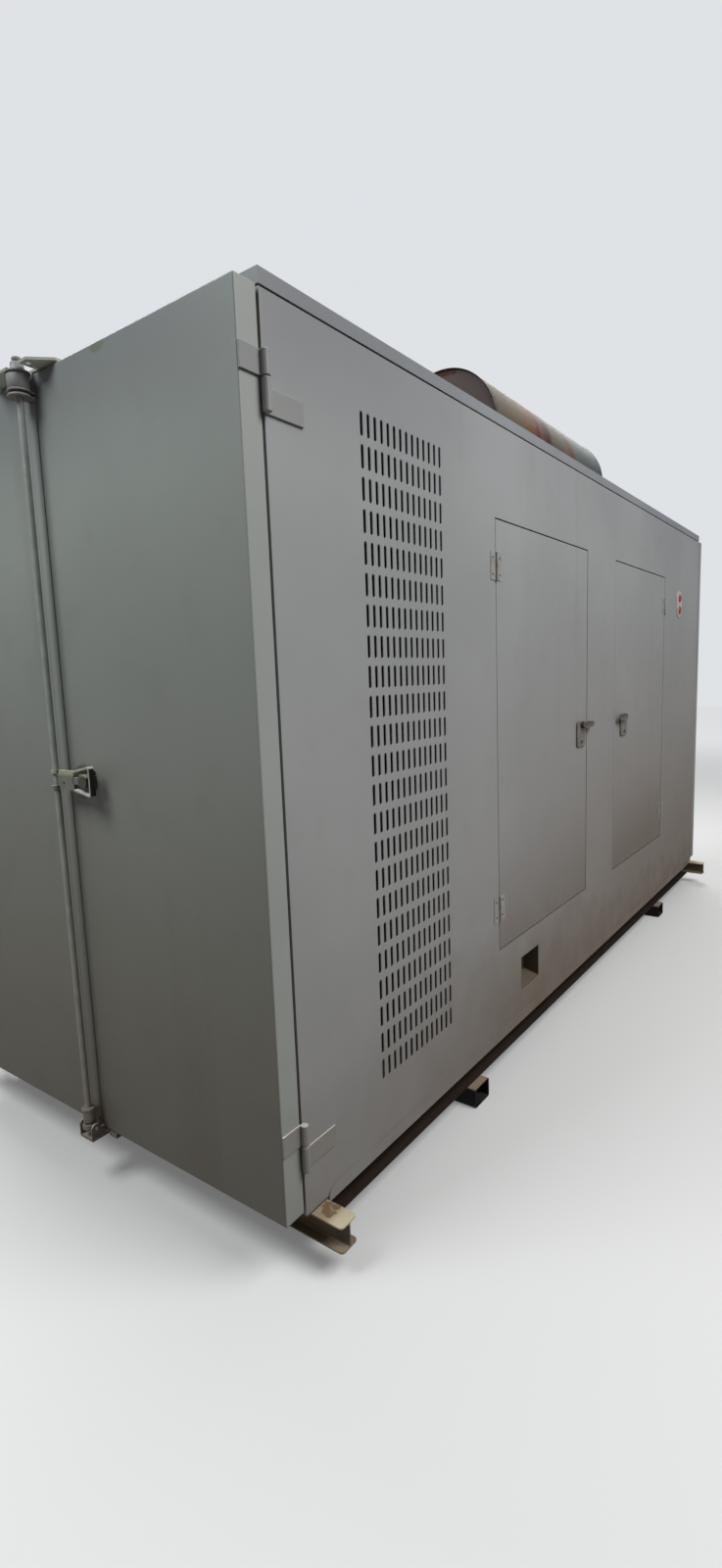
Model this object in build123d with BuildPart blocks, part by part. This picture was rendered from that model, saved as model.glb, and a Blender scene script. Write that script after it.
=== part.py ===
from build123d import *
from math import asin, cos, degrees, radians, sin
import os

os.makedirs("parts", exist_ok=True)

# Soundproof generator housing on a low steel base, with a silencer on its roof.
# +X runs along the housing from the end with the double doors, -Y is the side with
# the slotted grille and the service doors, +Z is up. The origin is on the ground,
# at the centre of the bounding box.

# Housing
length = 4600.0
width = 1700.0
wall = 40.0
end_gap = 7.0
roof_thickness = 37.0
shadow_gap = 6.0
shadow_recess = 14.0
frame_width = 60.0

# Base
tube_height = 75.0
tube_width = 110.0
tube_wall = 5.0
tube_inset = 1040.0
tube_reach = 32.0
beam_height = 77.0
beam_flange = 68.0
beam_plate = 5.0
beam_corner = 12.0
outrigger_inset = 132.0
outrigger_reach = 104.0
rail_flange = 55.0
tray_plate = 6.0
tray_clearance = 14.0
skirt_plate = 4.0
skirt_height = 39.0
skirt_drop = 6.0
skirt_corner = 30.0

# End doors
leaf_height = 2300.0
leaf_depth = 71.0
leaf_meeting_gap = 6.0
roof_above_leaf = 3.0

# Lift-off hinges of the end doors
pin_radius = 5.5
pin_clearance = 0.08
pin_length = 44.0
knuckle_radius = 11.5
fixed_knuckle_height = 75.0
moving_knuckle_height = 58.0
knuckle_gap = 2.0
hinge_inset = 200.0
strap_plate = 6.0
strap_height = 58.0
side_strap_length = 132.0
strap_to_knuckle = 5.0
knuckle_to_wall = 1.0

# Lock rod of the end doors
rod_radius = 9.5
rod_standoff = 41.0
rod_from_edge = 32.0
rod_bore_clearance = 0.1
guide_barrel_radius = 18.5
guide_neck = 22.0
foot_guide_level = 60.0
foot_guide_height = 36.0
head_guide_level = 2236.0
head_guide_plate = 5.0
head_guide_slot = 8.0
head_guide_radius = 32.0
head_guide_neck = 38.0
collar_radius = 21.0
collar_height = 9.0
collar_clearance = 1.0
drum_radius = 30.0
drum_height = 42.0
flange_radius = 33.0
flange_height = 6.0
neck_radius = 21.0
neck_height = 24.0
rod_nut_radius = 13.0
rod_nut_height = 17.0
cam_plate = 16.0
cam_radius = 22.0
cam_lobe_radius = 10.0
cam_lobe_offset = 15.0
cam_over_leaf = 18.0
rod_stub = 8.0
keeper_plate = 8.0
keeper_cheek = 6.0
keeper_reach = 16.0
keeper_gap = 56.0
keeper_clearance = 8.0
keeper_nose = 17.0
keeper_hole = 6.0
keeper_hole_level = 30.0
keeper_foot_width = 38.0
keeper_foot_height = 16.0
keeper_to_strip = 5.0
strip_width = 42.0
strip_plate = 4.0

# Shelf over the heads of the end doors, notched for the lock rod
shelf_plate = 6.0
shelf_reach = 56.0
shelf_width = 320.0
shelf_chamfer = 55.0
shelf_notch = 60.0
shelf_hole_radius = 6.0
shelf_hole_from_middle = 86.0
shelf_hole_reach = 36.0
shelf_over_leaf = 5.0

# Lock handle and its catch
handle_level = 1150.0
handle_length = 162.0
handle_depth = 10.0
handle_hub_radius = 14.0
handle_hub_height = 58.0
handle_fork_gap = 36.0
handle_plate_length = 98.0
handle_neck = 20.0
handle_knob_height = 42.0
handle_knob_width = 40.0
handle_knob_corner = 18.0
handle_hole_radius = 5.0
handle_hole_from_rod = 46.0
handle_hole_drop = 9.0
catch_length = 82.0
catch_mouth = 60.0
catch_flare = 92.0
catch_plate = 6.0
catch_reach = 50.0
catch_depth = 18.0
catch_clearance = 16.0
catch_post_inset = 44.0
catch_post_width = 24.0
catch_post_height = 34.0
catch_foot_width = 54.0

# Service doors in the long side
door_bottom = 345.0
door_height = 1626.0
door_width = 965.0
door_gap = 5.0
door_near_start = 1268.0
door_far_end = 3620.0

# Butt hinges of the service doors
butt_height = 100.0
butt_wing = 36.0
butt_plate = 2.5
butt_radius = 6.5
butt_inset = 167.0
butt_gap = 0.3
butt_to_wing = 1.0

# Latches of the service doors
latch_near_from_edge = 90.0
latch_far_from_edge = 148.0
latch_height = 1123.0
latch_plate_width = 104.0
latch_plate_height = 118.0
latch_plate_depth = 9.0
latch_corner = 14.0
latch_boss_radius = 16.0
latch_boss_depth = 6.0
latch_lever_length = 148.0
latch_lever_root = 34.0
latch_lever_tip = 26.0
latch_lever_depth = 14.0
latch_rise = 41.0
latch_running_gap = 0.3
keyhole_radius = 6.0
keyhole_drop = 38.0

# Slotted grille
slot_columns = 14
slot_rows = 23
slot_width = 12.0
slot_land = 21.4
slot_pitch_x = 32.0
grille_start = 420.0
grille_margin = 32.0
grille_sheet = 3.0
grille_bottom_row = 229.0
grille_top_row = 203.2

# Recessed pocket under the near service door
pocket_start = 1466.0
pocket_width = 180.0
pocket_bottom = 104.0
pocket_height = 141.0
pocket_depth = 70.0
pocket_sheet = 3.0
pocket_slope = 18.0

# Stop buttons beside the far service door
button_plate_at = 3985.0
button_plate_level = 1834.0
button_plate_size = 120.0
button_plate_length = 176.0
button_plate_corner = 59.0
button_plate_depth = 4.0
button_radius = 24.0
button_depth = 9.0
button_spacing = 78.0

# Silencer on the roof
silencer_radius = 318.0
silencer_sheet = 3.0
silencer_start = 2380.0
silencer_length = 1735.0
silencer_lift = 56.0
silencer_head_rise = 70.0
silencer_rim = 8.0
head_steps = 3
saddle_plate = 10.0
saddle_width = 420.0
saddle_inset = 300.0
saddle_foot = 80.0

# Levels and places that follow from the sizes above
lock_reach = rod_standoff + flange_radius
near_x = lock_reach / 2 - length / 2
far_x = near_x + length
half = width / 2
beam_bottom = tube_height
beam_top = beam_bottom + beam_height
tray_top = beam_top + tray_plate
leaf_bottom = tray_top + tray_clearance
leaf_top = leaf_bottom + leaf_height
roof_bottom = leaf_top + roof_above_leaf
roof_top = roof_bottom + roof_thickness
wall_bottom = tray_top
wall_top = roof_bottom - shadow_gap
body_near = near_x + leaf_depth + end_gap
body_far = far_x - leaf_depth - end_gap
slot_pitch_z = (leaf_height - grille_bottom_row - grille_top_row) / (slot_rows - 1)
slot_length = slot_pitch_z - slot_land


def block(x0, x1, y0, y1, z0, z1):
    """One plain slab between two corners."""
    with BuildPart() as slab:
        with BuildSketch(Plane.XY.offset(z0)):
            with Locations(((x0 + x1) / 2, (y0 + y1) / 2)):
                Rectangle(x1 - x0, y1 - y0)
        extrude(amount=z1 - z0)
    return slab.part


def both_sides(solid):
    """The piece and its mirror image on the other long side."""
    with BuildPart() as pair:
        add(solid)
        mirror(about=Plane.XZ)
    return pair.part


def other_side(solid):
    """The mirror image of a piece, on the other long side."""
    with BuildPart() as image:
        mirror(solid, about=Plane.XZ)
    return image.part


def save(part, name):
    """Label one finished piece and write it."""
    part.label = name
    export_step(part, f"parts/{name}.step")


# Base: hollow cross tubes on the ground
def cross_tubes():
    with BuildPart() as tubes:
        tube_run = 2 * (half + tube_reach)
        for x in (near_x + tube_inset, far_x - tube_inset):
            with BuildSketch(Plane.XZ.offset(-tube_run / 2)):
                with Locations((x, tube_height / 2)):
                    Rectangle(tube_width, tube_height)
                    Rectangle(tube_width - 2 * tube_wall, tube_height - 2 * tube_wall, mode=Mode.SUBTRACT)
            extrude(amount=tube_run)
    return tubes.part


# Base: wide-flange beams across both ends, with rounded flange corners
def outriggers():
    with BuildPart() as beams:
        reach = 2 * (half + outrigger_reach)
        for x in (near_x + outrigger_inset, far_x - outrigger_inset):
            for z in (beam_bottom, beam_top - beam_plate):
                with BuildSketch(Plane.XY.offset(z)):
                    with Locations((x, 0)):
                        RectangleRounded(beam_flange, reach, beam_corner)
                extrude(amount=beam_plate)
            with BuildSketch(Plane.XY.offset(beam_bottom + beam_plate)):
                with Locations((x, 0)):
                    Rectangle(beam_plate, reach)
            extrude(amount=beam_height - 2 * beam_plate)
    return beams.part


# Base: outward-facing channels along both long sides
def rails():
    start = near_x + outrigger_inset + beam_flange / 2
    run = length - 2 * outrigger_inset - beam_flange
    with BuildPart() as rail:
        with BuildSketch(Plane.YZ.offset(start)):
            with Locations((-half + rail_flange / 2, beam_bottom + beam_height / 2)):
                Rectangle(rail_flange, beam_height)
            with Locations((-half + (rail_flange - beam_plate) / 2, beam_bottom + beam_height / 2)):
                Rectangle(rail_flange - beam_plate, beam_height - 2 * beam_plate, mode=Mode.SUBTRACT)
        extrude(amount=run)
    return both_sides(rail.part)


# Base: floor tray that carries the walls
def floor_tray():
    return block(body_near, body_far, -half, half, beam_top, tray_top)


# Base: upright skirt strip along both long sides
def skirts():
    start = near_x + outrigger_inset + beam_flange / 2 + skirt_drop
    run = length - 2 * (outrigger_inset + beam_flange / 2 + skirt_drop)
    bottom = beam_top - beam_plate - skirt_drop
    with BuildPart() as strip:
        with BuildSketch(Plane.XZ.offset(half)):
            with Locations((start + run / 2, bottom + skirt_height / 2)):
                outline = Rectangle(run, skirt_height)
            upper = outline.vertices().group_by(Axis.Y)[-1]
            fillet(upper, radius=skirt_corner)
        extrude(amount=skirt_plate)
    return both_sides(strip.part)


# Walls: plain lined panels of the long side at y = -half
def wall_panel(x0, x1, z0, z1):
    return block(near_x + x0, near_x + x1, -half, -half + wall, z0, z1)


body_start = leaf_depth + end_gap
body_end = length - body_start
grille_width = (slot_columns - 1) * slot_pitch_x + slot_width + 2 * grille_margin
grille_end = grille_start + grille_width
opening_bottom = leaf_bottom + door_bottom - door_gap
opening_top = leaf_bottom + door_bottom + door_height + door_gap
near_opening = (door_near_start - door_gap, door_near_start + door_width + door_gap)
far_opening = (door_far_end - door_width - door_gap, door_far_end + door_gap)
pocket_z = leaf_bottom + pocket_bottom


# Walls: punched sheet with upright slots in rows
def slotted_sheet():
    x_mid = near_x + grille_start + grille_width / 2
    z_mid = leaf_bottom + grille_bottom_row + (slot_rows - 1) * slot_pitch_z / 2
    with BuildPart() as sheet:
        with BuildSketch(Plane.XZ.offset(half - grille_sheet)):
            with Locations((x_mid, (wall_bottom + wall_top) / 2)):
                Rectangle(grille_width, wall_top - wall_bottom)
            with Locations((x_mid, z_mid)):
                with GridLocations(slot_pitch_x, slot_pitch_z, slot_columns, slot_rows):
                    Rectangle(slot_width, slot_length, mode=Mode.SUBTRACT)
        extrude(amount=grille_sheet)
    return sheet.part


def plain_sheet():
    x0 = near_x + grille_start
    return block(x0, x0 + grille_width, -half, -half + grille_sheet, wall_bottom, wall_top)


# Walls: the strip under the service doors, with the pocket cut through it
def sill_wall(with_pocket):
    with BuildPart() as sill:
        add(wall_panel(near_opening[0], far_opening[1], wall_bottom, opening_bottom))
        if with_pocket:
            with BuildSketch(Plane.XZ.offset(half)):
                with Locations((near_x + pocket_start + pocket_width / 2, pocket_z + pocket_height / 2)):
                    Rectangle(pocket_width, pocket_height)
            extrude(amount=-wall, mode=Mode.SUBTRACT)
    return sill.part


# Walls: sheet-metal pocket with a sloping floor, set in the sill strip
def pocket_box():
    x0 = near_x + pocket_start
    with BuildPart() as pocket:
        with BuildSketch(Plane.YZ.offset(x0)):
            with BuildLine():
                Polyline(
                    (-half, pocket_z),
                    (-half + pocket_depth, pocket_z + pocket_slope),
                    (-half + pocket_depth, pocket_z + pocket_height),
                    (-half, pocket_z + pocket_height),
                    close=True,
                )
            make_face()
        extrude(amount=pocket_width)
        mouth = pocket.faces().sort_by(Axis.Y)[0]
        offset(amount=-pocket_sheet, openings=mouth)
    return pocket.part


# Frames round both end openings
def frame_posts():
    with BuildPart() as posts:
        for x in (body_near, body_far - wall):
            add(block(x, x + wall, -half + wall, -half + wall + frame_width, wall_bottom, wall_top))
        mirror(about=Plane.XZ)
    return posts.part


def frame_rails():
    inner = half - wall - frame_width
    with BuildPart() as crossbars:
        for x in (body_near, body_far - wall):
            add(block(x, x + wall, -inner, inner, wall_bottom, wall_bottom + frame_width))
            add(block(x, x + wall, -inner, inner, wall_top - frame_width, wall_top))
    return crossbars.part


# Roof: flat lid whose edge shows as a fascia over a dark shadow gap
def roof_panel():
    with BuildPart() as lid:
        add(block(body_near, body_far, -half, half, roof_bottom, roof_top))
        inset = shadow_recess
        add(block(body_near + inset, body_far - inset, -half + inset, half - inset, wall_top, roof_bottom))
    return lid.part


# Silencer: long drum lying along the roof, with one flat and one domed end
silencer_axis = roof_top + silencer_lift + silencer_radius
drum_start = near_x + silencer_start
drum_end = drum_start + silencer_length - silencer_head_rise


def silencer_shell():
    with BuildPart() as shell:
        with BuildSketch(Plane.YZ.offset(drum_start)):
            with Locations((0, silencer_axis)):
                Circle(silencer_radius)
                Circle(silencer_radius - silencer_sheet, mode=Mode.SUBTRACT)
        extrude(amount=drum_end - drum_start)
    return shell.part


def silencer_near_head():
    with BuildPart() as head:
        with BuildSketch(Plane.YZ.offset(drum_start + silencer_rim)):
            with Locations((0, silencer_axis)):
                Circle(silencer_radius - silencer_sheet)
        extrude(amount=silencer_sheet)
    return head.part


def silencer_far_head():
    dish = (silencer_radius**2 + silencer_head_rise**2) / (2 * silencer_head_rise)
    rim_angle = degrees(asin(silencer_radius / dish))
    turns = [rim_angle * step / head_steps for step in range(head_steps, -1, -1)]
    with BuildPart() as head:
        with BuildSketch(Plane.XZ):
            with BuildLine():
                Polyline(
                    (drum_end, silencer_axis),
                    *[
                        (
                            drum_end + silencer_head_rise - dish * (1 - cos(radians(turn))),
                            silencer_axis + dish * sin(radians(turn)),
                        )
                        for turn in turns
                    ],
                    close=True,
                )
            make_face()
        revolve(axis=Axis((0, 0, silencer_axis), (1, 0, 0)))
    return head.part


def silencer_saddles():
    with BuildPart() as saddles:
        for x in (drum_start + saddle_inset, drum_end - saddle_inset):
            with BuildSketch(Plane.YZ.offset(x - saddle_plate / 2)):
                with Locations((0, roof_top + silencer_radius / 2)):
                    Rectangle(saddle_width, silencer_radius)
                with Locations((0, silencer_axis)):
                    Circle(silencer_radius, mode=Mode.SUBTRACT)
            extrude(amount=saddle_plate)
            with BuildSketch(Plane.XY.offset(roof_top)):
                with Locations((x, 0)):
                    Rectangle(saddle_foot, saddle_width)
            extrude(amount=saddle_plate)
    return saddles.part


# End doors: each leaf is a lined tray whose rim wraps on to the long side
def end_leaf():
    return block(near_x, near_x + leaf_depth, -half, -leaf_meeting_gap / 2, leaf_bottom, leaf_top)


def far_end_leaves():
    edge = -leaf_meeting_gap / 2
    with BuildPart() as leaf:
        add(block(far_x - leaf_depth, far_x, -half, edge, leaf_bottom, leaf_top))
        add(block(body_far, far_x - leaf_depth, -half + wall, edge - shadow_recess,
                  leaf_bottom + shadow_recess, leaf_top - wall))
    return both_sides(leaf.part)


# Lift-off hinges: fixed half with the pin, moving half with the blind knuckle
hinge_x = near_x + leaf_depth + end_gap / 2
hinge_y = -half - knuckle_radius - knuckle_to_wall
hinge_levels = (leaf_bottom + hinge_inset, leaf_top - hinge_inset)


def fixed_hinge_halves():
    with BuildPart() as halves:
        for z in hinge_levels:
            bottom = z - knuckle_gap / 2 - fixed_knuckle_height
            with BuildSketch(Plane.XY.offset(bottom)):
                with Locations((hinge_x, hinge_y)):
                    Circle(knuckle_radius)
            extrude(amount=fixed_knuckle_height)
            with BuildSketch(Plane.XY.offset(bottom)):
                strap_start = hinge_x + strap_to_knuckle
                with Locations((strap_start + side_strap_length / 2, -half - strap_plate / 2)):
                    Rectangle(side_strap_length, strap_plate)
            extrude(amount=strap_height)
            with BuildSketch(Plane.XY.offset(bottom + fixed_knuckle_height)):
                with Locations((hinge_x, hinge_y)):
                    Circle(pin_radius)
            extrude(amount=pin_length)
    return halves.part


def moving_hinge_halves():
    with BuildPart() as halves:
        for z in hinge_levels:
            bottom = z + knuckle_gap / 2
            with BuildSketch(Plane.XY.offset(bottom)):
                with Locations((hinge_x, hinge_y)):
                    Circle(knuckle_radius)
                strap_end = hinge_x - strap_to_knuckle
                with Locations(((near_x + strap_end) / 2, -half - strap_plate / 2)):
                    Rectangle(strap_end - near_x, strap_plate)
            extrude(amount=moving_knuckle_height)
            with BuildSketch(Plane.XY.offset(bottom)):
                with Locations((hinge_x, hinge_y)):
                    Circle(pin_radius + pin_clearance)
            extrude(amount=pin_length + knuckle_gap, mode=Mode.SUBTRACT)
    return halves.part


# Lock gear at the meeting edge of the end doors
rod_x = near_x - rod_standoff
rod_y = -leaf_meeting_gap / 2 - rod_from_edge
cam_low = leaf_bottom + cam_over_leaf
keeper_low = leaf_bottom - keeper_clearance - keeper_plate
foot_guide_low = leaf_bottom + foot_guide_level - foot_guide_height / 2
head_guide_low = leaf_bottom + head_guide_level - head_guide_slot / 2 - head_guide_plate
drum_low = leaf_bottom + head_guide_level + head_guide_slot / 2 + head_guide_plate + collar_clearance


def meeting_strip():
    edge = -leaf_meeting_gap / 2
    return block(near_x - strip_plate, near_x, edge - strip_width, edge, leaf_bottom, leaf_top)


def rod_plate(bottom, height, radius, neck):
    """A disc round the rod, bored for it, with a neck back to the meeting strip."""
    run = rod_standoff - strip_plate
    with BuildPart() as plate:
        with BuildSketch(Plane.XY.offset(bottom)):
            with Locations((rod_x, rod_y)):
                Circle(radius)
            with Locations((rod_x + run / 2, rod_y)):
                Rectangle(run, neck)
            with Locations((rod_x, rod_y)):
                Circle(rod_radius + rod_bore_clearance, mode=Mode.SUBTRACT)
        extrude(amount=height)
    return plate.part


# Guides: a deep barrel at the rod's foot, two thin discs with a slot between at its head
def rod_guides():
    with BuildPart() as guides:
        add(rod_plate(foot_guide_low, foot_guide_height, guide_barrel_radius, guide_neck))
        for side in (0, 1):
            bottom = head_guide_low + side * (head_guide_plate + head_guide_slot)
            add(rod_plate(bottom, head_guide_plate, head_guide_radius, head_guide_neck))
        slot_low = head_guide_low + head_guide_plate
        add(block(near_x - 2 * strip_plate, near_x - strip_plate, rod_y - guide_neck / 2,
                  rod_y + guide_neck / 2, slot_low, slot_low + head_guide_slot))
    return guides.part


# Rod: round bar with a collar, a stepped head and a foot cam with one lobe
def lock_rod():
    head = (
        (drum_radius, drum_height),
        (flange_radius, flange_height),
        (neck_radius, neck_height),
        (rod_nut_radius, rod_nut_height),
    )
    with BuildPart() as rod:
        with BuildSketch(Plane.XY.offset(cam_low - rod_stub)):
            with Locations((rod_x, rod_y)):
                Circle(rod_radius)
        extrude(amount=drum_low - cam_low + rod_stub)
        level = drum_low
        for radius, height in head:
            with BuildSketch(Plane.XY.offset(level)):
                with Locations((rod_x, rod_y)):
                    Circle(radius)
            extrude(amount=height)
            level += height
        with BuildSketch(Plane.XY.offset(foot_guide_low + foot_guide_height + collar_clearance)):
            with Locations((rod_x, rod_y)):
                Circle(collar_radius)
        extrude(amount=collar_height)
        with BuildSketch(Plane.XY.offset(cam_low)):
            with Locations((rod_x, rod_y)):
                Circle(cam_radius)
            with Locations((rod_x + cam_lobe_offset, rod_y)):
                Circle(cam_lobe_radius)
        extrude(amount=cam_plate)
    return rod.part


# Keeper: a plate from the end frame out under the leaf, with a round-topped cheek on each side of the cam
def lock_keeper():
    x_front = rod_x - keeper_reach
    x_cheek_back = near_x - strip_plate - keeper_to_strip
    cheek_low = keeper_low + keeper_plate
    hole_z = cheek_low + keeper_hole_level
    outer = keeper_gap / 2 + keeper_cheek
    with BuildPart() as keeper:
        add(block(x_front, body_near, rod_y - outer, rod_y + outer, keeper_low, cheek_low))
        for y in (rod_y - keeper_gap / 2, rod_y + outer):
            with BuildSketch(Plane.XZ.offset(-y)):
                with Locations(((x_front + x_cheek_back) / 2, cheek_low + keeper_hole_level / 2)):
                    Rectangle(x_cheek_back - x_front, keeper_hole_level)
                with Locations((x_front + keeper_nose, hole_z)):
                    Circle(keeper_nose)
                    Circle(keeper_hole, mode=Mode.SUBTRACT)
            extrude(amount=keeper_cheek)
        foot_end = rod_y - outer - keeper_foot_width
        add(block(near_x + strip_plate, body_near, foot_end, rod_y - outer,
                  cheek_low - keeper_foot_height, cheek_low))
    return keeper.part


# Shelf: level plate with cut corners over both leaves, carried by the end frame
def lock_shelf():
    bottom = leaf_top + shelf_over_leaf
    with BuildPart() as shelf:
        with BuildSketch(Plane.XY.offset(bottom)):
            with BuildLine():
                Polyline(
                    (body_near, -shelf_width / 2),
                    (near_x, -shelf_width / 2),
                    (near_x - shelf_reach, -shelf_width / 2 + shelf_chamfer),
                    (near_x - shelf_reach, shelf_width / 2 - shelf_chamfer),
                    (near_x, shelf_width / 2),
                    (body_near, shelf_width / 2),
                    close=True,
                )
            make_face()
            with Locations((near_x - shelf_reach, rod_y)):
                Rectangle(2 * shelf_reach, shelf_notch, mode=Mode.SUBTRACT)
            for side in (-1, 1):
                with Locations((near_x - shelf_hole_reach, side * shelf_hole_from_middle)):
                    Circle(shelf_hole_radius, mode=Mode.SUBTRACT)
        extrude(amount=shelf_plate)
    return shelf.part


# Lock handle: forked hub on the rod, a plate with a hole, a short neck and a rounded knob
handle_z = leaf_bottom + handle_level


def lock_handle():
    root = rod_y - rod_radius
    plate_end = rod_y - handle_plate_length
    tip = rod_y - handle_length
    hub_low = handle_z - handle_hub_height / 2
    with BuildPart() as handle:
        with BuildSketch(Plane.YZ.offset(rod_x - handle_depth / 2)):
            with Locations(((root + plate_end) / 2, handle_z)):
                Rectangle(root - plate_end, handle_hub_height)
            with Locations(((plate_end + tip) / 2, handle_z)):
                Rectangle(plate_end - tip, handle_neck)
            with Locations((tip + handle_knob_width / 2, handle_z)):
                RectangleRounded(handle_knob_width, handle_knob_height, handle_knob_corner)
            with Locations((rod_y - handle_hole_from_rod, handle_z - handle_hole_drop)):
                Circle(handle_hole_radius, mode=Mode.SUBTRACT)
        extrude(amount=handle_depth)
        with BuildSketch(Plane.XY.offset(hub_low)):
            with Locations((rod_x, rod_y)):
                Circle(handle_hub_radius)
        extrude(amount=handle_hub_height)
        with BuildSketch(Plane.XY.offset(handle_z - handle_fork_gap / 2)):
            with Locations((rod_x, rod_y)):
                Rectangle(2 * handle_hub_radius, 2 * handle_hub_radius)
        extrude(amount=handle_fork_gap, mode=Mode.SUBTRACT)
        with BuildSketch(Plane.XY.offset(hub_low)):
            with Locations((rod_x, rod_y)):
                Circle(rod_radius)
        extrude(amount=handle_hub_height, mode=Mode.SUBTRACT)
    return handle.part


# Catch: a flat-bar loop, open towards the rod, on a post from the leaf
def handle_catch():
    end = rod_y - handle_length - catch_clearance - catch_plate
    start = end + catch_length
    inner = catch_plate
    with BuildPart() as catch:
        with BuildSketch(Plane.YZ.offset(near_x - catch_reach)):
            with BuildLine():
                Polyline(
                    (start, handle_z + catch_mouth / 2),
                    (end, handle_z + catch_flare / 2),
                    (end, handle_z - catch_flare / 2),
                    (start, handle_z - catch_mouth / 2),
                    (start, handle_z - catch_mouth / 2 + inner),
                    (end + inner, handle_z - catch_flare / 2 + inner),
                    (end + inner, handle_z + catch_flare / 2 - inner),
                    (start, handle_z + catch_mouth / 2 - inner),
                    close=True,
                )
            make_face()
        extrude(amount=catch_depth)
        behind = near_x - catch_reach + catch_depth
        low = handle_z - catch_post_height / 2
        high = handle_z + catch_post_height / 2
        post = end + catch_post_inset
        add(block(behind, behind + catch_plate, end, post + catch_post_width, low, high))
        add(block(behind, near_x, post, post + catch_post_width, low, high))
        add(block(near_x - catch_plate, near_x, post, post + catch_foot_width,
                  handle_z - catch_mouth / 2, handle_z + catch_mouth / 2))
    return catch.part


# Service doors in the long side
def service_door(start):
    return block(
        near_x + start, near_x + start + door_width, -half, -half + wall,
        leaf_bottom + door_bottom, leaf_bottom + door_bottom + door_height,
    )


door_far_start = door_far_end - door_width
near_axis_x = near_x + door_near_start - door_gap / 2
far_axis_x = near_x + door_far_end + door_gap / 2
butt_y = -half - butt_radius
butt_levels = (
    leaf_bottom + door_bottom + butt_inset,
    leaf_bottom + door_bottom + door_height - butt_inset,
)


def butt_wing_part(axis_x, side, upper):
    """Wings and knuckles on one side of the axis at axis_x, the upper ones or the lower."""
    knuckle = (butt_height - butt_gap) / 2
    with BuildPart() as wings:
        for z in butt_levels:
            wing_x = axis_x + side * (butt_radius + butt_to_wing + butt_wing / 2)
            with BuildSketch(Plane.XY.offset(z - butt_height / 2)):
                with Locations((wing_x, -half - butt_plate / 2)):
                    Rectangle(butt_wing, butt_plate)
            extrude(amount=butt_height)
            bottom = z + butt_gap / 2 if upper else z - butt_height / 2
            with BuildSketch(Plane.XY.offset(bottom)):
                with Locations((axis_x, butt_y)):
                    Circle(butt_radius)
                with Locations((axis_x + side * (butt_radius + butt_to_wing) / 2, -half - butt_plate / 2)):
                    Rectangle(butt_radius + butt_to_wing, butt_plate)
            extrude(amount=knuckle)
    return wings.part


def frame_butts():
    with BuildPart() as wings:
        add(butt_wing_part(near_axis_x, -1, False))
        add(butt_wing_part(far_axis_x, 1, False))
    return wings.part


# Latches: escutcheon with a keyhole, and a lever on a round boss
def latch_plate(x):
    z = leaf_bottom + latch_height
    with BuildPart() as plate:
        with BuildSketch(Plane.XZ.offset(half)):
            with Locations((x, z)):
                RectangleRounded(latch_plate_width, latch_plate_height, latch_corner)
            with Locations((x, z - keyhole_drop)):
                Circle(keyhole_radius, mode=Mode.SUBTRACT)
        extrude(amount=latch_plate_depth)
    return plate.part


def latch_lever(x, side):
    """A tapered lever that points to side from its round boss at x."""
    z = leaf_bottom + latch_height + latch_rise
    y = half + latch_plate_depth + latch_running_gap
    tip = x + side * (latch_lever_length - latch_boss_radius)
    with BuildPart() as lever:
        with BuildSketch(Plane.XZ.offset(y)):
            with Locations((x, z)):
                Circle(latch_boss_radius)
        extrude(amount=latch_boss_depth)
        with BuildSketch(Plane.XZ.offset(y + latch_boss_depth)):
            with BuildLine():
                Polyline(
                    (x - side * latch_boss_radius, z - latch_lever_root / 2),
                    (tip, z - latch_lever_tip / 2),
                    (tip, z + latch_lever_tip / 2),
                    (x - side * latch_boss_radius, z + latch_lever_root / 2),
                    close=True,
                )
            make_face()
        extrude(amount=latch_lever_depth)
    return lever.part


latch_near_x = near_x + door_near_start + door_width - latch_near_from_edge
latch_far_x = near_x + door_far_start + latch_far_from_edge


# Stop buttons on a pale oval plate
def button_plate():
    with BuildPart() as plate:
        with BuildSketch(Plane.XZ.offset(half)):
            with Locations((near_x + button_plate_at, leaf_bottom + button_plate_level)):
                RectangleRounded(button_plate_size, button_plate_length, button_plate_corner)
        extrude(amount=button_plate_depth)
    return plate.part


def stop_buttons():
    z = leaf_bottom + button_plate_level
    with BuildPart() as buttons:
        with BuildSketch(Plane.XZ.offset(half + button_plate_depth)):
            for side in (-1, 1):
                with Locations((near_x + button_plate_at, z + side * button_spacing / 2)):
                    Circle(button_radius)
        extrude(amount=button_depth)
    return buttons.part


# The base
save(cross_tubes(), "cross_tubes")
save(outriggers(), "outriggers")
save(rails(), "rails")
save(floor_tray(), "floor_tray")
save(skirts(), "skirts")

# The long side with the grille and the service doors
save(wall_panel(body_start, grille_start, wall_bottom, wall_top), "front_wall_near")
save(slotted_sheet(), "front_grille")
save(wall_panel(grille_end, near_opening[0], wall_bottom, wall_top), "front_wall_middle")
save(wall_panel(near_opening[0], far_opening[1], opening_top, wall_top), "front_header")
save(sill_wall(True), "front_sill")
save(wall_panel(near_opening[1], far_opening[0], opening_bottom, opening_top), "front_mullion")
save(wall_panel(far_opening[1], body_end, wall_bottom, wall_top), "front_wall_far")
save(pocket_box(), "pocket_box")

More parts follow.
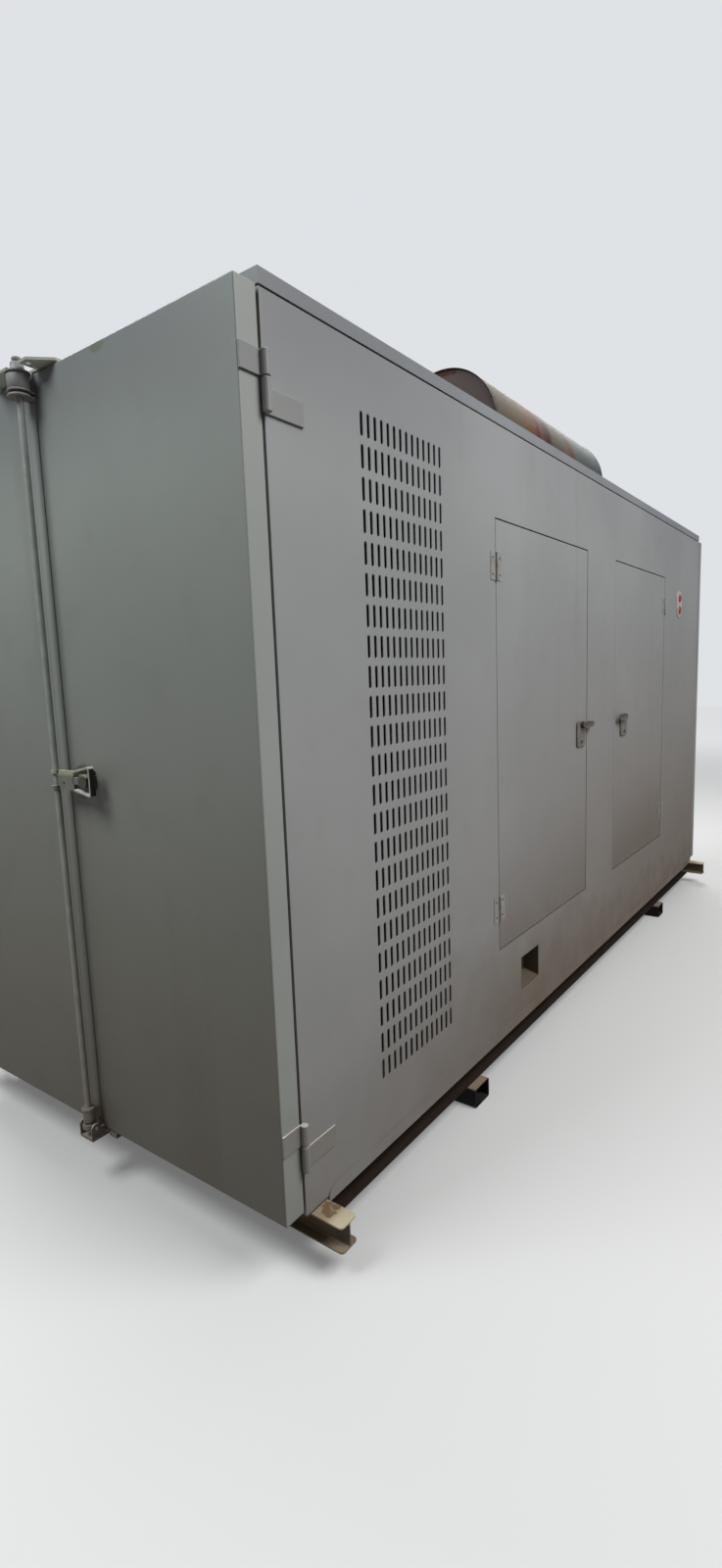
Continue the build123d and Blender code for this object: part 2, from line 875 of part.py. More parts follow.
# The hidden long side repeats it plainly
with BuildPart() as back_wall_panels:
    add(wall_panel(body_start, grille_start, wall_bottom, wall_top))
    add(wall_panel(grille_end, near_opening[0], wall_bottom, wall_top))
    add(wall_panel(far_opening[1], body_end, wall_bottom, wall_top))
save(other_side(back_wall_panels.part), "back_wall_panels")
save(other_side(plain_sheet()), "back_grille_sheet")
with BuildPart() as back_door_rails:
    add(wall_panel(near_opening[0], far_opening[1], opening_top, wall_top))
    add(sill_wall(False))
save(other_side(back_door_rails.part), "back_door_rails")
save(other_side(wall_panel(near_opening[1], far_opening[0], opening_bottom, opening_top)), "back_mullion")
with BuildPart() as back_doors:
    add(wall_panel(near_opening[0], near_opening[1], opening_bottom, opening_top))
    add(wall_panel(far_opening[0], far_opening[1], opening_bottom, opening_top))
save(other_side(back_doors.part), "back_doors")

# Ends and roof
save(frame_posts(), "frame_posts")
save(frame_rails(), "frame_rails")
save(far_end_leaves(), "far_end_leaves")
save(roof_panel(), "roof_panel")
save(silencer_shell(), "silencer_shell")
save(silencer_near_head(), "silencer_near_head")
save(silencer_far_head(), "silencer_far_head")
save(silencer_saddles(), "silencer_saddles")
save(button_plate(), "button_plate")
save(stop_buttons(), "stop_buttons")

# Fixed hardware
save(both_sides(fixed_hinge_halves()), "end_hinge_plates")
save(frame_butts(), "service_hinge_plates")
save(lock_keeper(), "lock_keeper")
save(lock_shelf(), "lock_shelf")

# The end door that carries the lock rod
save(end_leaf(), "end_door_front")
save(moving_hinge_halves(), "end_door_front_hinges")
save(meeting_strip(), "meeting_strip")
save(rod_guides(), "rod_guides")
save(handle_catch(), "handle_catch")
save(lock_rod(), "lock_rod")
save(lock_handle(), "lock_handle")

# The other end door
save(other_side(end_leaf()), "end_door_back")
save(other_side(moving_hinge_halves()), "end_door_back_hinges")

# The service doors
save(service_door(door_near_start), "service_door_near")
save(butt_wing_part(near_axis_x, 1, True), "service_door_near_hinges")
save(latch_plate(latch_near_x), "latch_plate_near")
save(latch_lever(latch_near_x, 1), "latch_lever_near")
save(service_door(door_far_start), "service_door_far")
save(butt_wing_part(far_axis_x, -1, True), "service_door_far_hinges")
save(latch_plate(latch_far_x), "latch_plate_far")
save(latch_lever(latch_far_x, -1), "latch_lever_far")
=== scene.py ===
"""Soundproof generator housing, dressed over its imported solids.

Every length is in metres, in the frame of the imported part: +X runs along the
housing away from the end double doors, -Y is the side with the slotted grille
and the service doors, +Z is up.
"""

from __future__ import annotations

import logging
import math
from dataclasses import dataclass, field
from enum import Enum, IntEnum
from functools import cache
from typing import Any, Sequence

import bmesh
import bpy
import numpy as np
from mathutils import Matrix, Vector

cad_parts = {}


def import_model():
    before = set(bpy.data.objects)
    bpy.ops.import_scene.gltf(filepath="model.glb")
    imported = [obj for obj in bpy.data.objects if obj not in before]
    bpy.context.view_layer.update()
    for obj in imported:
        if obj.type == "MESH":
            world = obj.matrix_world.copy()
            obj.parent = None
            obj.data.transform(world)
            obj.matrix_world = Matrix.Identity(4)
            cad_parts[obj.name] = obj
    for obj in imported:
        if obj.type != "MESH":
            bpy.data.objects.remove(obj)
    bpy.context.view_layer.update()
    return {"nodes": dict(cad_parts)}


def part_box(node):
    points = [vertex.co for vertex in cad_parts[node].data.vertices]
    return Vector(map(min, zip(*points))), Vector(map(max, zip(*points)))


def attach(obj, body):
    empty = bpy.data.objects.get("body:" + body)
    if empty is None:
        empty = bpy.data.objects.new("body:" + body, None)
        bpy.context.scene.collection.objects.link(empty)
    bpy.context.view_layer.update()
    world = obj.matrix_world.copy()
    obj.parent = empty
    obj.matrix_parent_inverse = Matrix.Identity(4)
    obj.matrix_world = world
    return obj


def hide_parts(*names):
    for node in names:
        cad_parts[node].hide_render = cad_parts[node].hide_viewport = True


Array = np.ndarray
Colour = tuple[float, float, float]
Point = tuple[float, float, float]
Profile = Sequence[tuple[float, float]]
log = logging.getLogger("housing")

WELD = 2e-6  # points of a piece that lie closer are one
EDGE_ANGLE = 40.0  # edges that turn by more degrees are rounded, where a piece has rounded edges


class Side(IntEnum):
    """The long sides by their sign along Y: the one with the service doors and the other."""

    FRONT = -1
    BACK = 1


class Axis(Enum):
    """One of the three directions of the frame."""

    X = 0
    Y = 1
    Z = 2


class Slot(Enum):
    """The record's material slots, one named by each finish."""

    PANEL = "panel_paint"
    DOOR = "door_paint"
    BASE = "base_steel"
    PRIMED = "primed_steel"
    SILENCER = "silencer_paint"
    RUSTY = "rusty_steel"
    ZINC = "zinc"
    CHROME = "dull_chrome"
    PLATE = "plate_plastic"
    RED = "red_plastic"


def rgb(red: int, green: int, blue: int) -> Colour:
    """Turns a tone as a screen shows it into the shader's linear scale.

    Args:
        red: Red from 0 to 255.
        green: Green from 0 to 255.
        blue: Blue from 0 to 255.

    Returns:
        The three linear values.
    """
    screen = np.array([red, green, blue]) / 255.0
    linear = np.where(screen <= 0.04045, screen / 12.92, ((screen + 0.055) / 1.055) ** 2.4)
    return tuple(float(v) for v in linear)


def shaded(tone: Colour, factor: float) -> Colour:
    """A tone made darker or lighter."""
    return tuple(min(1.0, v * factor) for v in tone)


# Shader sheets


@dataclass(frozen=True)
class Wire:
    """A shader socket on which Python's operators add Math nodes."""

    sheet: Sheet
    socket: bpy.types.NodeSocket

    def _math(self, operation: str, first: Any, second: Any) -> Wire:
        """One Math node of two values or wires."""
        return self.sheet.node("Math", {0: first, 1: second}, operation=operation)

    def __add__(self, other: Any) -> Wire:
        """Sum of two wires, or of a wire and a number."""
        return self._math("ADD", self, other)

    def __radd__(self, other: Any) -> Wire:
        """Sum with the number first."""
        return self._math("ADD", other, self)

    def __sub__(self, other: Any) -> Wire:
        """Difference."""
        return self._math("SUBTRACT", self, other)

    def __rsub__(self, other: Any) -> Wire:
        """Difference with the number first."""
        return self._math("SUBTRACT", other, self)

    def __mul__(self, other: Any) -> Wire:
        """Product."""
        return self._math("MULTIPLY", self, other)

    def __rmul__(self, other: Any) -> Wire:
        """Product with the number first."""
        return self._math("MULTIPLY", other, self)

    def most(self, other: Any) -> Wire:
        """The larger of two."""
        return self._math("MAXIMUM", self, other)

    def rise(self, low: float, high: float) -> Wire:
        """Goes smoothly from 0 at low to 1 at high; low may be the larger one."""
        between = {0: self, 1: low, 2: high}
        return self.sheet.node("MapRange", between, interpolation_type="SMOOTHSTEP")


class Sheet:
    """The nodes of a material or a world, round its one shader."""

    def __init__(self, owner: bpy.types.Material | bpy.types.World) -> None:
        """Takes the shader that a new material or world has.

        Args:
            owner: The material or world.
        """
        owner.use_nodes = True
        self.owner, self.tree = owner, owner.node_tree
        self.shader = next(n for n in self.tree.nodes if n.type in ("BSDF_PRINCIPLED", "BACKGROUND"))

    def feed(self, inputs: dict[Any, Any], node: bpy.types.Node | None = None) -> None:
        """Gives a node its values and wires.

        Args:
            inputs: Values, colours or wires by socket name or number.
            node: The node, none for the shader.
        """
        for key, value in inputs.items():
            socket = (node or self.shader).inputs[key]
            if isinstance(value, Wire):
                self.tree.links.new(value.socket, socket)
            else:
                socket.default_value = (*value, 1.0) if socket.type == "RGBA" else value

    def node(self, kind: str, inputs: dict[Any, Any], output: Any = 0, **settings: Any) -> Wire:
        """Adds one node.

        Args:
            kind: Blender's type name without its first part.
            inputs: Values, colours or wires by socket name or number.
            output: Name or number of the output that is wanted.
            settings: The node's own attributes.

        Returns:
            The output's wire.
        """
        made = self.tree.nodes.new("ShaderNode" + kind)
        for key, value in settings.items():
            setattr(made, key, value)
        self.feed(inputs, made)
        return Wire(self, made.outputs[output])

    def place(self) -> Wire:
        """The point on the object, in metres."""
        return self.node("TexCoord", {}, "Object")

    def along(self, axis: Axis) -> Wire:
        """One coordinate of the point on the object."""
        return self.node("SeparateXYZ", {0: self.place()}, axis.value)

    def facing(self, axis: Axis) -> Wire:
        """How far the surface faces along one axis, from -1 to 1."""
        return self.node("SeparateXYZ", {0: self.node("NewGeometry", {}, "Normal")}, axis.value)

    def noise(
        self, scale: float, detail: float = 3.0, stretch: Point = (1.0, 1.0, 1.0), twist: float = 0.0
    ) -> Wire:
        """Cloudy values from 0 to 1, mostly near one half.

        Args:
            scale: Blotches to the metre, roughly.
            detail: How many finer layers are laid over them.
            stretch: Factors on the three coordinates; a small one draws the blotches out.
            twist: How far the pattern is bent by itself.

        Returns:
            The value.
        """
        point = self.node("VectorMath", {0: self.place(), 1: stretch}, operation="MULTIPLY")
        looks = {"Vector": point, "Scale": scale, "Detail": detail, "Distortion": twist}
        return self.node("TexNoise", looks)

    def mix(self, share: Any, first: Any, second: Any) -> Wire:
        """Blends two colours by the second one's share."""
        return self.node("Mix", {0: share, 6: first, 7: second}, 2, data_type="RGBA")

    def ramp(self, value: Wire, stops: Sequence[tuple[float, Colour]]) -> Wire:
        """Colours a value by a row of stops.

        Args:
            value: What runs along the row, from 0 to 1.
            stops: Places in rising order, each with its colour.

        Returns:
            The colour.
        """
        coloured = self.node("ValToRGB", {0: value})
        elements = coloured.socket.node.color_ramp.elements
        while len(elements) < len(stops):
            elements.new(1.0)
        for element, (place, colour) in zip(elements, stops):
            element.position = place
            element.color = (*colour, 1.0)
        return coloured

    def finish(
        self, colour: Any, rough: Any, *layers: tuple[Wire, float], **more: Any
    ) -> bpy.types.Material:
        """Feeds the shader and bumps the surface.

        Args:
            colour: Base colour.
            rough: Roughness.
            layers: Heights from 0 to 1, each with what 1 is in metres.
            more: Other inputs of the shader.

        Returns:
            The material.
        """
        values = {"Base Color": colour, "Roughness": rough, **more}
        for height, depth in layers:
            bump = {"Strength": 1.0, "Distance": depth, "Height": height}
            if "Normal" in values:
                bump["Normal"] = values["Normal"]
            values["Normal"] = self.node("Bump", bump)
        self.feed(values)
        return self.owner


# Finishes. In them, rise() is given the two values of a noise, or the two places, between which
# a layer fades in, and mix() its share.


@dataclass(frozen=True)
class Band:
    """A tone between two places along one axis."""

    axis: Axis
    low: float
    high: float
    tone: Colour
    share: float = 1.0
    soft: float = 0.002

    def cover(self, sheet: Sheet) -> Wire:
        """How much of each place the tone covers.

        Args:
            sheet: The material's sheet.

        Returns:
            Its share there.
        """
        place = sheet.along(self.axis)
        inside = place.rise(self.low - self.soft, self.low + self.soft)
        inside = inside * place.rise(self.high + self.soft, self.high - self.soft)
        return inside * self.share


@dataclass(frozen=True)
class Mark:
    """A small stain: its middle, how far it reaches each way and its tone."""

    spot: Point
    reach: Point
    tone: Colour
    share: float = 0.8

    def cover(self, sheet: Sheet, ragged: Wire) -> Wire:
        """How much of each place it covers: the distance, each way over its reach, fades at 1.

        Args:
            sheet: The material's sheet.
            ragged: A value round one half that frays its edge.

        Returns:
            Its share there.
        """
        grow = tuple(1.0 / r for r in self.reach)
        here = sheet.node("VectorMath", {0: sheet.place(), 1: grow}, operation="MULTIPLY")
        there = tuple(p * g for p, g in zip(self.spot, grow))
        apart = sheet.node("VectorMath", {0: here, 1: there}, "Value", operation="DISTANCE")
        return (apart + (ragged - 0.5)).rise(1.15, 0.7) * self.share


@dataclass(frozen=True)
class Finish:
    """What every finish has: a name, a tone, the record's slot and layers over the tone."""

    name: str
    tone: Colour = rgb(155, 157, 158)
    slot: Slot = Slot.PANEL
    rough: float = 0.5
    bands: tuple[Band, ...] = ()
    marks: tuple[Mark, ...] = ()

    @cache
    def material(self) -> bpy.types.Material:
        """The finish's material, made when it is first asked for."""
        return self.make(Sheet(bpy.data.materials.new(self.name)))

    def make(self, sheet: Sheet) -> bpy.types.Material:
        """Feeds the sheet; every kind of finish has its own way."""
        raise NotImplementedError

    def lay(self, sheet: Sheet, colour: Wire, broken: Wire, ragged: Wire | None = None) -> Wire:
        """Lays the bands and then the marks over a colour.

        Args:
            sheet: The material's sheet.
            colour: The colour under them.
            broken: A factor that breaks the bands up.
            ragged: A value round one half that frays the marks.

        Returns:
            The colour with all of them.
        """
        for band in self.bands:
            colour = sheet.mix(band.cover(sheet) * broken, colour, band.tone)
        for mark in self.marks:
            colour = sheet.mix(mark.cover(sheet, ragged), colour, mark.tone)
        return colour


@dataclass(frozen=True)
class WeatheredShadedPaint(Finish):
    """Sprayed sheet metal after years in a dusty yard, with painted shade towards the bottom and the top.
    """

    rough: float = 0.46
    dust: Colour = rgb(108, 93, 79)
    rust: Colour = rgb(104, 58, 34)
    ledge: Colour = rgb(112, 98, 84)
    # darkening towards the bottom, partly dust and partly painted shade
    dust_and_shade_film: float = 0.26
    drift: float = 0.50
    # painted shade on faces toward the near end
    end_face_shade: float = 0.0
    grime: float = 0.50
    grime_top: float = 1.25
    runs: float = 0.14
    chips: float = 0.16
    dents: float = 0.0035
    roof: float = 0.55
    # painted shade: darkening near the top of the walls, in this tone
    top_shade: float = 0.50
    top_shade_tone: Colour = rgb(94, 97, 101)

    def make(self, sheet: Sheet) -> bpy.types.Material:
        """Clouded paint with faint runs and rusty chips.

        Paint darkens downwards, partly as dust and partly as painted shade, and grows dustier
        towards the far end; faces toward the near end and the paint under the roof's edge are
        darkened as painted shade.

        Args:
            sheet: The material's sheet.

        Returns:
            The material.
        """
        height, length = sheet.along(Axis.Z), sheet.along(Axis.X)
        clouds, mottle, fine = sheet.noise(0.8, 4.0), sheet.noise(7.0, 5.0), sheet.noise(60.0)
        runs = sheet.noise(5.0, 4.0, (1.0, 1.0, 0.07)).rise(0.56, 0.74) * self.runs
        chips = sheet.noise(70.0, 2.0, twist=0.4).rise(0.77, 0.80) * self.chips
        # painted shade: faces toward the near end take a heavier film
        end_face_shade = (-1.0 * sheet.facing(Axis.X)).rise(0.3, 0.9) * self.end_face_shade
        # darker towards the bottom: partly dust, partly painted shade
        dust_and_shade_film = height.rise(2.45, 0.15) * (0.8 + 0.4 * clouds)
        dust_and_shade_film = dust_and_shade_film * (self.dust_and_shade_film + self.drift * length.rise(-2.0, 1.0) + end_face_shade)
        splash = (height.rise(self.grime_top, 0.12) * (0.80 + 0.4 * mottle)).rise(0.05, 1.25)
        # the bottom film and the splash together: dust with painted shade
        dust_and_shade = dust_and_shade_film.most(splash * (self.grime + self.drift * length.rise(-2.1, -0.5)))
        # painted shade: the paint darkens near the top, most at the near end
        top_shade = height.rise(2.06, 2.52) * (1.35 - 1.0 * length.rise(-2.25, -0.9)) * self.top_shade
        # upward faces take the ledge tone: dust on most paints, a painted highlight on the straps
        ledge = sheet.facing(Axis.Z).rise(0.75, 0.98) * (self.roof + 0.4 * (mottle - 0.5))
        colour = sheet.mix(clouds.rise(0.35, 0.68), shaded(self.tone, 0.88), shaded(self.tone, 1.06))
        for share, tone in (
            (mottle.rise(0.52, 0.75) * 0.07, self.dust),
            (runs, self.dust),
            (dust_and_shade, self.dust),
            (top_shade, self.top_shade_tone),
            (ledge, self.ledge),
            (chips, self.rust),
        ):
            colour = sheet.mix(share, colour, tone)
        colour = self.lay(sheet, colour, 0.5 + clouds, mottle)
        rough = self.rough + 0.30 * dust_and_shade + 0.14 * (fine - 0.5) + 0.10 * (mottle - 0.5)
        waves, peel = (sheet.noise(1.7, 1.0), self.dents), (sheet.noise(420.0, 2.0), 0.00012)
        return sheet.finish(colour, rough, waves, peel, (chips, 0.0003))


@dataclass(frozen=True)
class RustingSteel(Finish):
    """Structural steel whose paint has gone in patches."""

    rough: float = 0.62
    rust: Colour = rgb(92, 56, 38)
    dust: Colour = rgb(120, 104, 88)
    share: float = 0.45
    ledge: float = 0.35
    gloss: float = 0.4

    def make(self, sheet: Sheet) -> bpy.types.Material:
        """Patches of rust with a darker rim in dull paint, and dust on what faces up.

        Args:
            sheet: The material's sheet.

        Returns:
            The material.
        """
        patches, grain = sheet.noise(7.5, 8.0, twist=0.6), sheet.noise(130.0, 4.0)
        edge = 0.66 - 0.28 * self.share
        bare = patches.rise(edge, edge + 0.07)
        rim = bare * patches.rise(edge + 0.16, edge + 0.05)
        clouds = sheet.noise(3.0, 4.0).rise(0.3, 0.7)
        paint = sheet.mix(clouds, shaded(self.tone, 0.78), self.tone)
        rusty = sheet.mix(grain.rise(0.3, 0.7), shaded(self.rust, 0.55), self.rust)
        colour = sheet.mix(bare, paint, rusty)
        colour = sheet.mix(rim * 0.5, colour, shaded(self.rust, 0.4))
        ledge = self.ledge + 0.5 * (sheet.noise(11.0, 5.0) - 0.3)
        colour = sheet.mix(sheet.facing(Axis.Z).rise(0.5, 0.95) * ledge, colour, self.dust)
        colour = self.lay(sheet, colour, 0.62 + 0.7 * patches, 3.2 * sheet.noise(45.0, 6.0) - 1.1)
        rough = self.rough + 0.25 * bare + 0.12 * (grain - 0.5)
        scale, flake = (grain * bare, 0.0006), (patches.rise(edge + 0.05, edge - 0.03), 0.0003)
        return sheet.finish(colour, rough, scale, flake, **{"Specular IOR Level": self.gloss})


@dataclass(frozen=True)
class HeatBleachedPaint(Finish):
    """The silencer's paint, burnt off in bands near its hot end."""

    start: float = 0.117
    length: float = 1.735
    gloss: float = 0.08
    stops: tuple[tuple[float, Colour], ...] = (
        (0.00, rgb(30, 18, 15)),
        (0.02, rgb(82, 73, 60)),
        (0.12, rgb(84, 73, 60)),
        (0.20, rgb(84, 73, 49)),
        (0.25, rgb(92, 62, 40)),
        (0.31, rgb(96, 51, 30)),
        (0.338, rgb(42, 19, 15)),
        (0.366, rgb(90, 50, 31)),
        (0.400, rgb(38, 12, 10)),
        (0.418, rgb(34, 11, 9)),
        (0.446, rgb(78, 66, 54)),
        (0.62, rgb(73, 77, 71)),
        (1.00, rgb(63, 74, 72)),
    )

    def make(self, sheet: Sheet) -> bpy.types.Material:
        """Colours that change along the drum, broken up by noise and by runs round it.

        Args:
            sheet: The material's sheet.

        Returns:
            The material.
        """
        blotch = sheet.noise(3.2, 6.0, (1.0, 2.2, 2.2), 0.5)
        runs = sheet.noise(16.0, 5.0, (1.0, 0.16, 0.16))
        fine, specks = sheet.noise(90.0, 5.0), sheet.noise(26.0, 6.0).rise(0.60, 0.70)
        place = (sheet.along(Axis.X) - self.start) * (1.0 / self.length)
        place = place + 0.12 * (blotch - 0.5) + 0.06 * (runs - 0.5)
        streak = place.rise(0.585, 0.615) * place.rise(0.670, 0.640) * runs.rise(0.30, 0.55)
        ledge = sheet.facing(Axis.Z).rise(0.75, 1.0) * 0.45
        colour = sheet.mix(streak, sheet.ramp(place, self.stops), rgb(88, 50, 33))
        colour = sheet.mix(specks * 0.35, colour, rgb(62, 34, 22))
        colour = sheet.mix(ledge, colour, rgb(52, 48, 42))
        gloss = {"Specular IOR Level": self.gloss}
        return sheet.finish(colour, 0.52 + 0.3 * fine, (fine, 0.0005), (blotch, 0.0015), **gloss)


@dataclass(frozen=True)
class PlatedMetal(Finish):
    """Zinc or chrome plate that has dulled and caught dust."""

    slot: Slot = Slot.ZINC
    tarnish: Colour = rgb(104, 98, 92)
    metal: float = 0.85
    wear: float = 0.5

    def make(self, sheet: Sheet) -> bpy.types.Material:
        """Fine scratches, cloudy tarnish and brown stains.

        Args:
            sheet: The material's sheet.

        Returns:
            The material.
        """
        clouds, fine = sheet.noise(22.0, 6.0), sheet.noise(300.0)
        stain = sheet.noise(48.0, 5.0, twist=0.4).rise(0.60, 0.74)
        colour = sheet.mix(clouds.rise(0.32, 0.70) * self.wear, self.tone, self.tarnish)
        colour = sheet.mix(stain * 0.6 * self.wear, colour, rgb(104, 74, 52))
        colour = self.lay(sheet, colour, 0.6 + 0.8 * clouds)
        rough = self.rough + 0.25 * clouds * self.wear + 0.12 * fine
        metal = self.metal * (1.0 - 0.5 * stain)
        return sheet.finish(colour, rough, (fine, 0.00008), (clouds, 0.0004), Metallic=metal)


@dataclass(frozen=True)
class SteelWithPaintedLight(Finish):
    """Painted steel with a painted highlight on its upward faces, painted shade on faces toward the front
    side, and bright scratches.
    """

    slot: Slot = Slot.ZINC
    # pale tone: a painted highlight on upward faces and the colour of scratches; dark tone: painted shade
    # on faces toward the front side
    highlight_and_scratch_tone: Colour = rgb(206, 202, 178)
    side_shade_tone: Colour = rgb(34, 30, 27)
    edges: float = 0.9
    side_shade: float = 0.8
    metal: float = 0.2

    def make(self, sheet: Sheet) -> bpy.types.Material:
        """Clouded paint with a painted highlight where it faces up and painted shade where it faces the
        front side.

        Args:
            sheet: The material's sheet.

        Returns:
            The material.
        """
        clouds, fine = sheet.noise(36.0, 5.0), sheet.noise(260.0, 4.0)
        side = (-1.0 * sheet.facing(Axis.Y)).rise(0.55, 0.9)
        up = sheet.facing(Axis.Z).rise(0.2, 0.75)
        scratches = sheet.noise(90.0, 5.0, twist=0.8).rise(0.62, 0.72)
        colour = sheet.mix(clouds.rise(0.3, 0.7), shaded(self.tone, 0.74), self.tone)
        # painted shade on faces toward the front side
        colour = sheet.mix(side * self.side_shade, colour, self.side_shade_tone)
        colour = self.lay(sheet, colour, 0.7 + 0.6 * clouds)
        # painted highlight on upward faces
        colour = sheet.mix(up * self.edges * (0.5 + clouds), colour, self.highlight_and_scratch_tone)
        colour = sheet.mix(scratches * 0.3 * (1.0 - side), colour, self.highlight_and_scratch_tone)
        rough = 0.42 + 0.22 * clouds + 0.08 * fine
        return sheet.finish(colour, rough, (fine, 0.00010), (clouds, 0.0005), Metallic=self.metal)


@dataclass(frozen=True)
class MouldedPlastic(Finish):
    """Sun-faded plastic."""

    rough: float = 0.35
    faded: Colour = rgb(166, 160, 152)

    def make(self, sheet: Sheet) -> bpy.types.Material:
        """Fading in soft clouds under a finely textured skin.

        Args:
            sheet: The material's sheet.

        Returns:
            The material.
        """
        clouds, fine = sheet.noise(30.0, 4.0), sheet.noise(900.0, 2.0)
        colour = sheet.mix(clouds.rise(0.35, 0.7), self.tone, self.faded)
        return sheet.finish(colour, self.rough + 0.15 * clouds, (fine, 0.00005))


# Surfaces


def ways(turn: Array) -> Array:
    """The cosine and sine of each angle."""
    return np.stack([np.cos(turn), np.sin(turn)], -1)


def rounded_box(width: float, height: float, radius: float, steps: int = 5) -> Array:
    """A rectangle with round corners, about the origin: each corner's centre plus a turning radius.

    Args:
        width: Size in the first direction.
        height: Size in the second direction.
        radius: Corner radius.
        steps: Points in each corner.

    Returns:
        The outline, anticlockwise.
    """
    centres = np.array([[1, 1], [-1, 1], [-1, -1], [1, -1]]) * (width / 2 - radius, height / 2 - radius)
    angles = np.linspace(0.0, math.pi / 2, steps) + np.arange(4)[:, None] * math.pi / 2
    ring = centres[:, None, :] + radius * ways(angles)
    return ring.reshape(-1, 2)


def disc(radius: float, steps: int) -> Array:
    """A circle about the origin: the radius times cosine and sine of even turns."""
    return radius * ways(np.arange(steps) * 2 * math.pi / steps)


def round_hole(ring: Array, centre: Array, radius: float) -> Array:
    """A round hole matched to a ring point by point, by their turn about the hole's centre."""
    away = np.arctan2(ring[:, 1] - centre[1], ring[:, 0] - centre[0])
    return centre + radius * ways(away)


def drum(radius: float, low: float, high: float, rim: float, bore: float = 0.0) -> Profile:
    """Radius and height of a turned drum's points, whose rims are broken by small chamfers."""
    flat, lower, upper = radius - rim, low + rim, high - rim
    return [(bore, low), (flat, low), (radius, lower), (radius, upper), (flat, high), (bore, high)]


def lift(flat: Array, axis: Axis, level: Any) -> Array:
    """Puts flat points on a plane across one axis.

    Args:
        flat: Points whose last dimension holds the other two coordinates in order.
        axis: The axis that the plane is across.
        level: Where along it.

    Returns:
        The points in space.
    """
    space = np.empty(flat.shape[:-1] + (3,))
    first, second = [k for k in range(3) if k != axis.value]
    space[..., first], space[..., second], space[..., axis.value] = flat[..., 0], flat[..., 1], level
    return space


def placed(name: str, data: bpy.types.ID) -> bpy.types.Object:
    """Makes an object and links it to the scene.

    Args:
        name: Its name.
        data: Its mesh, lamp or camera.

    Returns:
        The object.
    """
    made = bpy.data.objects.new(name, data)
    bpy.context.scene.collection.objects.link(made)
    return made


